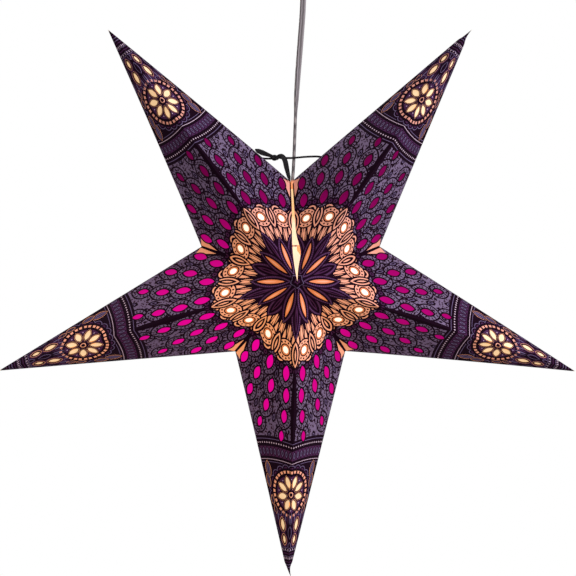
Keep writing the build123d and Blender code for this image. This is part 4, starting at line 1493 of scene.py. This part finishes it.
# %% Tissue sheets
TISSUE_DEPTH, TISSUE_CLOUD = 0.5, 140.0
tissue_looks = {
    "white_tissue": (linear(244, 238, 228), linear(255, 238, 206), 0.7, (0.1, 0.05)),
    "magenta_tissue": (linear(92, 0, 58), linear(255, 0, 160), 0.72, (0.88, 0.5)),
    "cream_tissue": (linear(224, 196, 168), linear(255, 206, 134), 0.70, (0.1, 0.0)),
}
for tissue, (colour, glow, strength, shade) in tissue_looks.items():
    finish = paper(tissue, colour, glow, strength, TISSUE_CLOUD)
    for name in POINT_ANGLES:
        points, faces = panel_set(name, *tissue_nets[tissue], TISSUE_DEPTH)
        sheet_values = {"lamp": lamp_share(points, *shade)}
        sheet = mesh_piece(name + "_" + tissue + "_sheet", points, faces, [finish], values=sheet_values)
        mount_paper(sheet, name, name + "_" + tissue)
    print(tissue, "is behind", len(POINT_ANGLES), "points")

# %% [markdown]
# ## Hard pieces
# The ceiling fitting, lampholder and lamp are bought parts of plastic, steel, rubber, ceramic and brass.
# They could be modelled again with rounder edges, but their CAD shapes already fit together.
# So they keep their meshes and only get finishes, each with a drift of colour and a fine grain.

# %% Hard pieces
HARD_DRIFT, HARD_GRAIN = (0.94, 1.04), (700.0, 0.00003)


def plain(name, colour, roughness, metallic=0.0, cloud=40.0):
    """Plastic, rubber, ceramic or metal with slight unevenness."""
    material, tree, shader = new_material(name, colour, roughness)
    shader.inputs["Metallic"].default_value = metallic
    mottle(tree, shader, colour, cloud, *HARD_DRIFT)
    roughen(tree, shader, *HARD_GRAIN)
    return material


def dress(material, *nodes):
    """Give CAD pieces a finish without touching their shape."""
    for node in nodes:
        slots = frame["nodes"][node].data.materials
        slots.clear()
        slots.append(material)
    print(", ".join(nodes), "dressed in", material.name)


dress(plain("cover_plastic", linear(208, 207, 203), 0.38), "rose_cover")
dress(plain("bracket_steel", linear(168, 170, 172), 0.36, 1.0, 120.0), "ceiling_bracket")
dress(plain("screw_steel", linear(190, 190, 188), 0.28, 1.0, 160.0), "cover_screws", "terminal_screws")
dress(plain("block_plastic", linear(206, 205, 198), 0.5), "terminal_block")
dress(plain("grip_nylon", linear(214, 213, 208), 0.45), "cord_grip", "grip_nut")
dress(plain("bead_rubber", linear(120, 121, 124), 0.7), "swivel_bead", "cord_sleeve")
dress(flex_material, "flex_end")
dress(plain("insert_ceramic", linear(226, 220, 208), 0.3), "holder_insert")
dress(plain("brass", linear(196, 158, 92), 0.3, 1.0, 90.0), "screw_shell")
dress(plain("contact_metal", linear(190, 170, 130), 0.32, 1.0), "centre_contact", "lamp_contact")
dress(plain("insulator_glass", linear(40, 36, 44), 0.15), "lamp_insulator")
dress(plain("cap_metal", linear(196, 196, 194), 0.3, 1.0, 90.0), "lamp_cap")

# %% [markdown]
# ## Lampholder
# The holder's plastic shell hangs in the lamp's light: amber at its top, pale cream nearer to the lamp.
# A lamp inside the star could light it, but its light would also burn out the paper close by.
# So the shell has a soft emission whose colour goes by height, through a ramp on Object coordinates.

# %% Lampholder
GLOW_TOP, GLOW_BOTTOM = -0.307, -0.315
AMBER, CREAM = (0.70, 0.45, 0.18, 1.0), (0.72, 0.68, 0.48, 1.0)
holder_plastic = plain("holder_plastic", linear(206, 194, 174), 0.4)
tree = holder_plastic.node_tree
shader = tree.nodes["Principled BSDF"]
split = on_object(add_node(tree, "SeparateXYZ"))
height = add_node(tree, "MapRange", **{"From Min": GLOW_TOP, "From Max": GLOW_BOTTOM})
ramp = colour_ramp(tree, (0.0, AMBER), (1.0, CREAM))
link(split, "Z", height, "Value")
link(height, "Result", ramp, "Fac")
link(ramp, "Color", shader, "Emission Color")
shader.inputs["Emission Strength"].default_value = 1.0
dress(holder_plastic, "holder_cap", "holder_skirt")

# %% [markdown]
# ## Lamp
# The lamp is an opal glass globe that glows all over, round a glass stem with its filaments.
# A real light source in clear glass would be slow, and opal glass hides it anyway.
# So the globe and the filaments are emissive, and the stem is clear glass by its transmission.


# %% Lamp
def lamp_finish(name, colour, roughness, cloud, low, high):
    """Glass or wire whose colour drifts slightly."""
    material, tree, shader = new_material(name, colour, roughness)
    mottle(tree, shader, colour, cloud, low, high)
    return material, shader


opal, shader = lamp_finish("lamp_glass", linear(176, 164, 144), 0.25, 30.0, 0.97, 1.02)
shader.inputs["Emission Color"].default_value = linear(255, 240, 206)
shader.inputs["Emission Strength"].default_value = 0.88
dress(opal, "lamp_globe")
stem, shader = lamp_finish("stem_glass", linear(235, 236, 232), 0.08, 60.0, 0.96, 1.03)
shader.inputs["Transmission Weight"].default_value = 0.8
dress(stem, "lamp_stem")
filament, shader = lamp_finish("filament", linear(255, 205, 120), 0.4, 200.0, 0.9, 1.0)
shader.inputs["Emission Color"].default_value = linear(255, 196, 110)
shader.inputs["Emission Strength"].default_value = 4.0
dress(filament, "lamp_filaments")

# %% [markdown]
# ## Floor
# The lantern hangs in a high room, so there is a pale floor far below the ceiling.
# A large plane would show a hard edge against the white surround from some sides.
# So the floor is a disc that turns clear towards its rim, by its distance from the middle.

# %% Floor
ROOM_HEIGHT, FLOOR_RADIUS, FLOOR_STEPS = 3.4, 2.4, 64
FADE = {"From Min": 0.3 * FLOOR_RADIUS, "From Max": 0.98 * FLOOR_RADIUS}
floor_pale = plain("floor_pale", linear(246, 246, 244), 0.8, 0.0, 1.2)
tree = floor_pale.node_tree
level = on_object(add_node(tree, "VectorMath", "MULTIPLY"))
level.inputs[1].default_value = (1.0, 1.0, 0.0)
away = add_node(tree, "VectorMath", "LENGTH")
fade = add_node(tree, "MapRange", **FADE)
mix = add_node(tree, "MixShader")
link(level, "Vector", away, 0)
link(away, "Value", fade, "Value")
link(fade, "Result", mix, "Fac")
link(tree.nodes["Principled BSDF"], "BSDF", mix, 1)
link(add_node(tree, "BsdfTransparent"), "BSDF", mix, 2)
link(mix, "Shader", tree.nodes["Material Output"], "Surface")
floor_ring = disc(FLOOR_RADIUS, FLOOR_STEPS)
floor_points = np.column_stack([floor_ring, np.full(len(floor_ring), -ROOM_HEIGHT)])
fan = np.arange(1, len(floor_ring) - 1)
floor = mesh_piece("floor", floor_points, np.stack([0 * fan, fan, fan + 1], 1), [floor_pale])
print("floor is", ROOM_HEIGHT, "m below the ceiling")

# %% [markdown]
# ## Surround
# A studio surround is white to the camera, but a bright white room would wash out the paper.
# A white backdrop lit by lamps would throw its light back on the star.
# So the world has two backgrounds: plain white for what is seen, also in gloss and glass,
# and a softer one for the light that falls on the star.

# %% Surround
ROOM_LIGHT = 0.62
world = bpy.data.worlds.new("surround")
world.use_nodes = True
scene.world = world
tree = world.node_tree
seen = tree.nodes["Background"]
seen.inputs["Color"].default_value = (1.0, 1.0, 1.0, 1.0)
seen.inputs["Strength"].default_value = 1.0
room = add_node(tree, "Background", Color=linear(244, 238, 236), Strength=ROOM_LIGHT)
rays = add_node(tree, "LightPath")
either = add_node(tree, "Math", "MAXIMUM")
any_of = add_node(tree, "Math", "MAXIMUM")
mix = add_node(tree, "MixShader")
link(rays, "Is Camera Ray", either, 0)
link(rays, "Is Glossy Ray", either, 1)
link(either, "Value", any_of, 0)
link(rays, "Is Transmission Ray", any_of, 1)
link(any_of, "Value", mix, "Fac")
link(room, "Background", mix, 1)
link(seen, "Background", mix, 2)
link(mix, "Shader", tree.nodes["World Output"], "Surface")
print("room light has a strength of", ROOM_LIGHT)

# %% [markdown]
# ## Lamps
# Soft light from the right shades one side of each fold darker than the other, and shows the star's depth.
# A sun would do that too, but with hard shadows that a studio doesn't have.
# So one large, slightly cool area lamp stands in front, and another keeps the back from going dark.
# The Standard view transform shows colours as they were chosen, without a film curve.


# %% Lamps
def soft_lamp(name, place, size, power, tint=(1.0, 1.0, 1.0)):
    """Square area lamp that faces the middle of the star."""
    light = bpy.data.lights.new(name, "AREA")
    light.size = size
    light.energy = power
    light.color = tint
    lamp = bpy.data.objects.new(name, light)
    scene.collection.objects.link(lamp)
    lamp.location = place
    way = Vector(STAR) - Vector(place)
    lamp.rotation_mode = "QUATERNION"
    lamp.rotation_quaternion = way.to_track_quat("-Z", "Y")
    print(name, "lamp of", power, "W stands", round(way.length, 2), "m from the star")


soft_lamp("key", (1.52, -1.31, 0.51), 1.2, 44.0, (0.88, 0.92, 1.0))
soft_lamp("back_fill", (-1.2, 1.5, 0.6), 1.2, 30.0)
scene.view_settings.view_transform = "Standard"
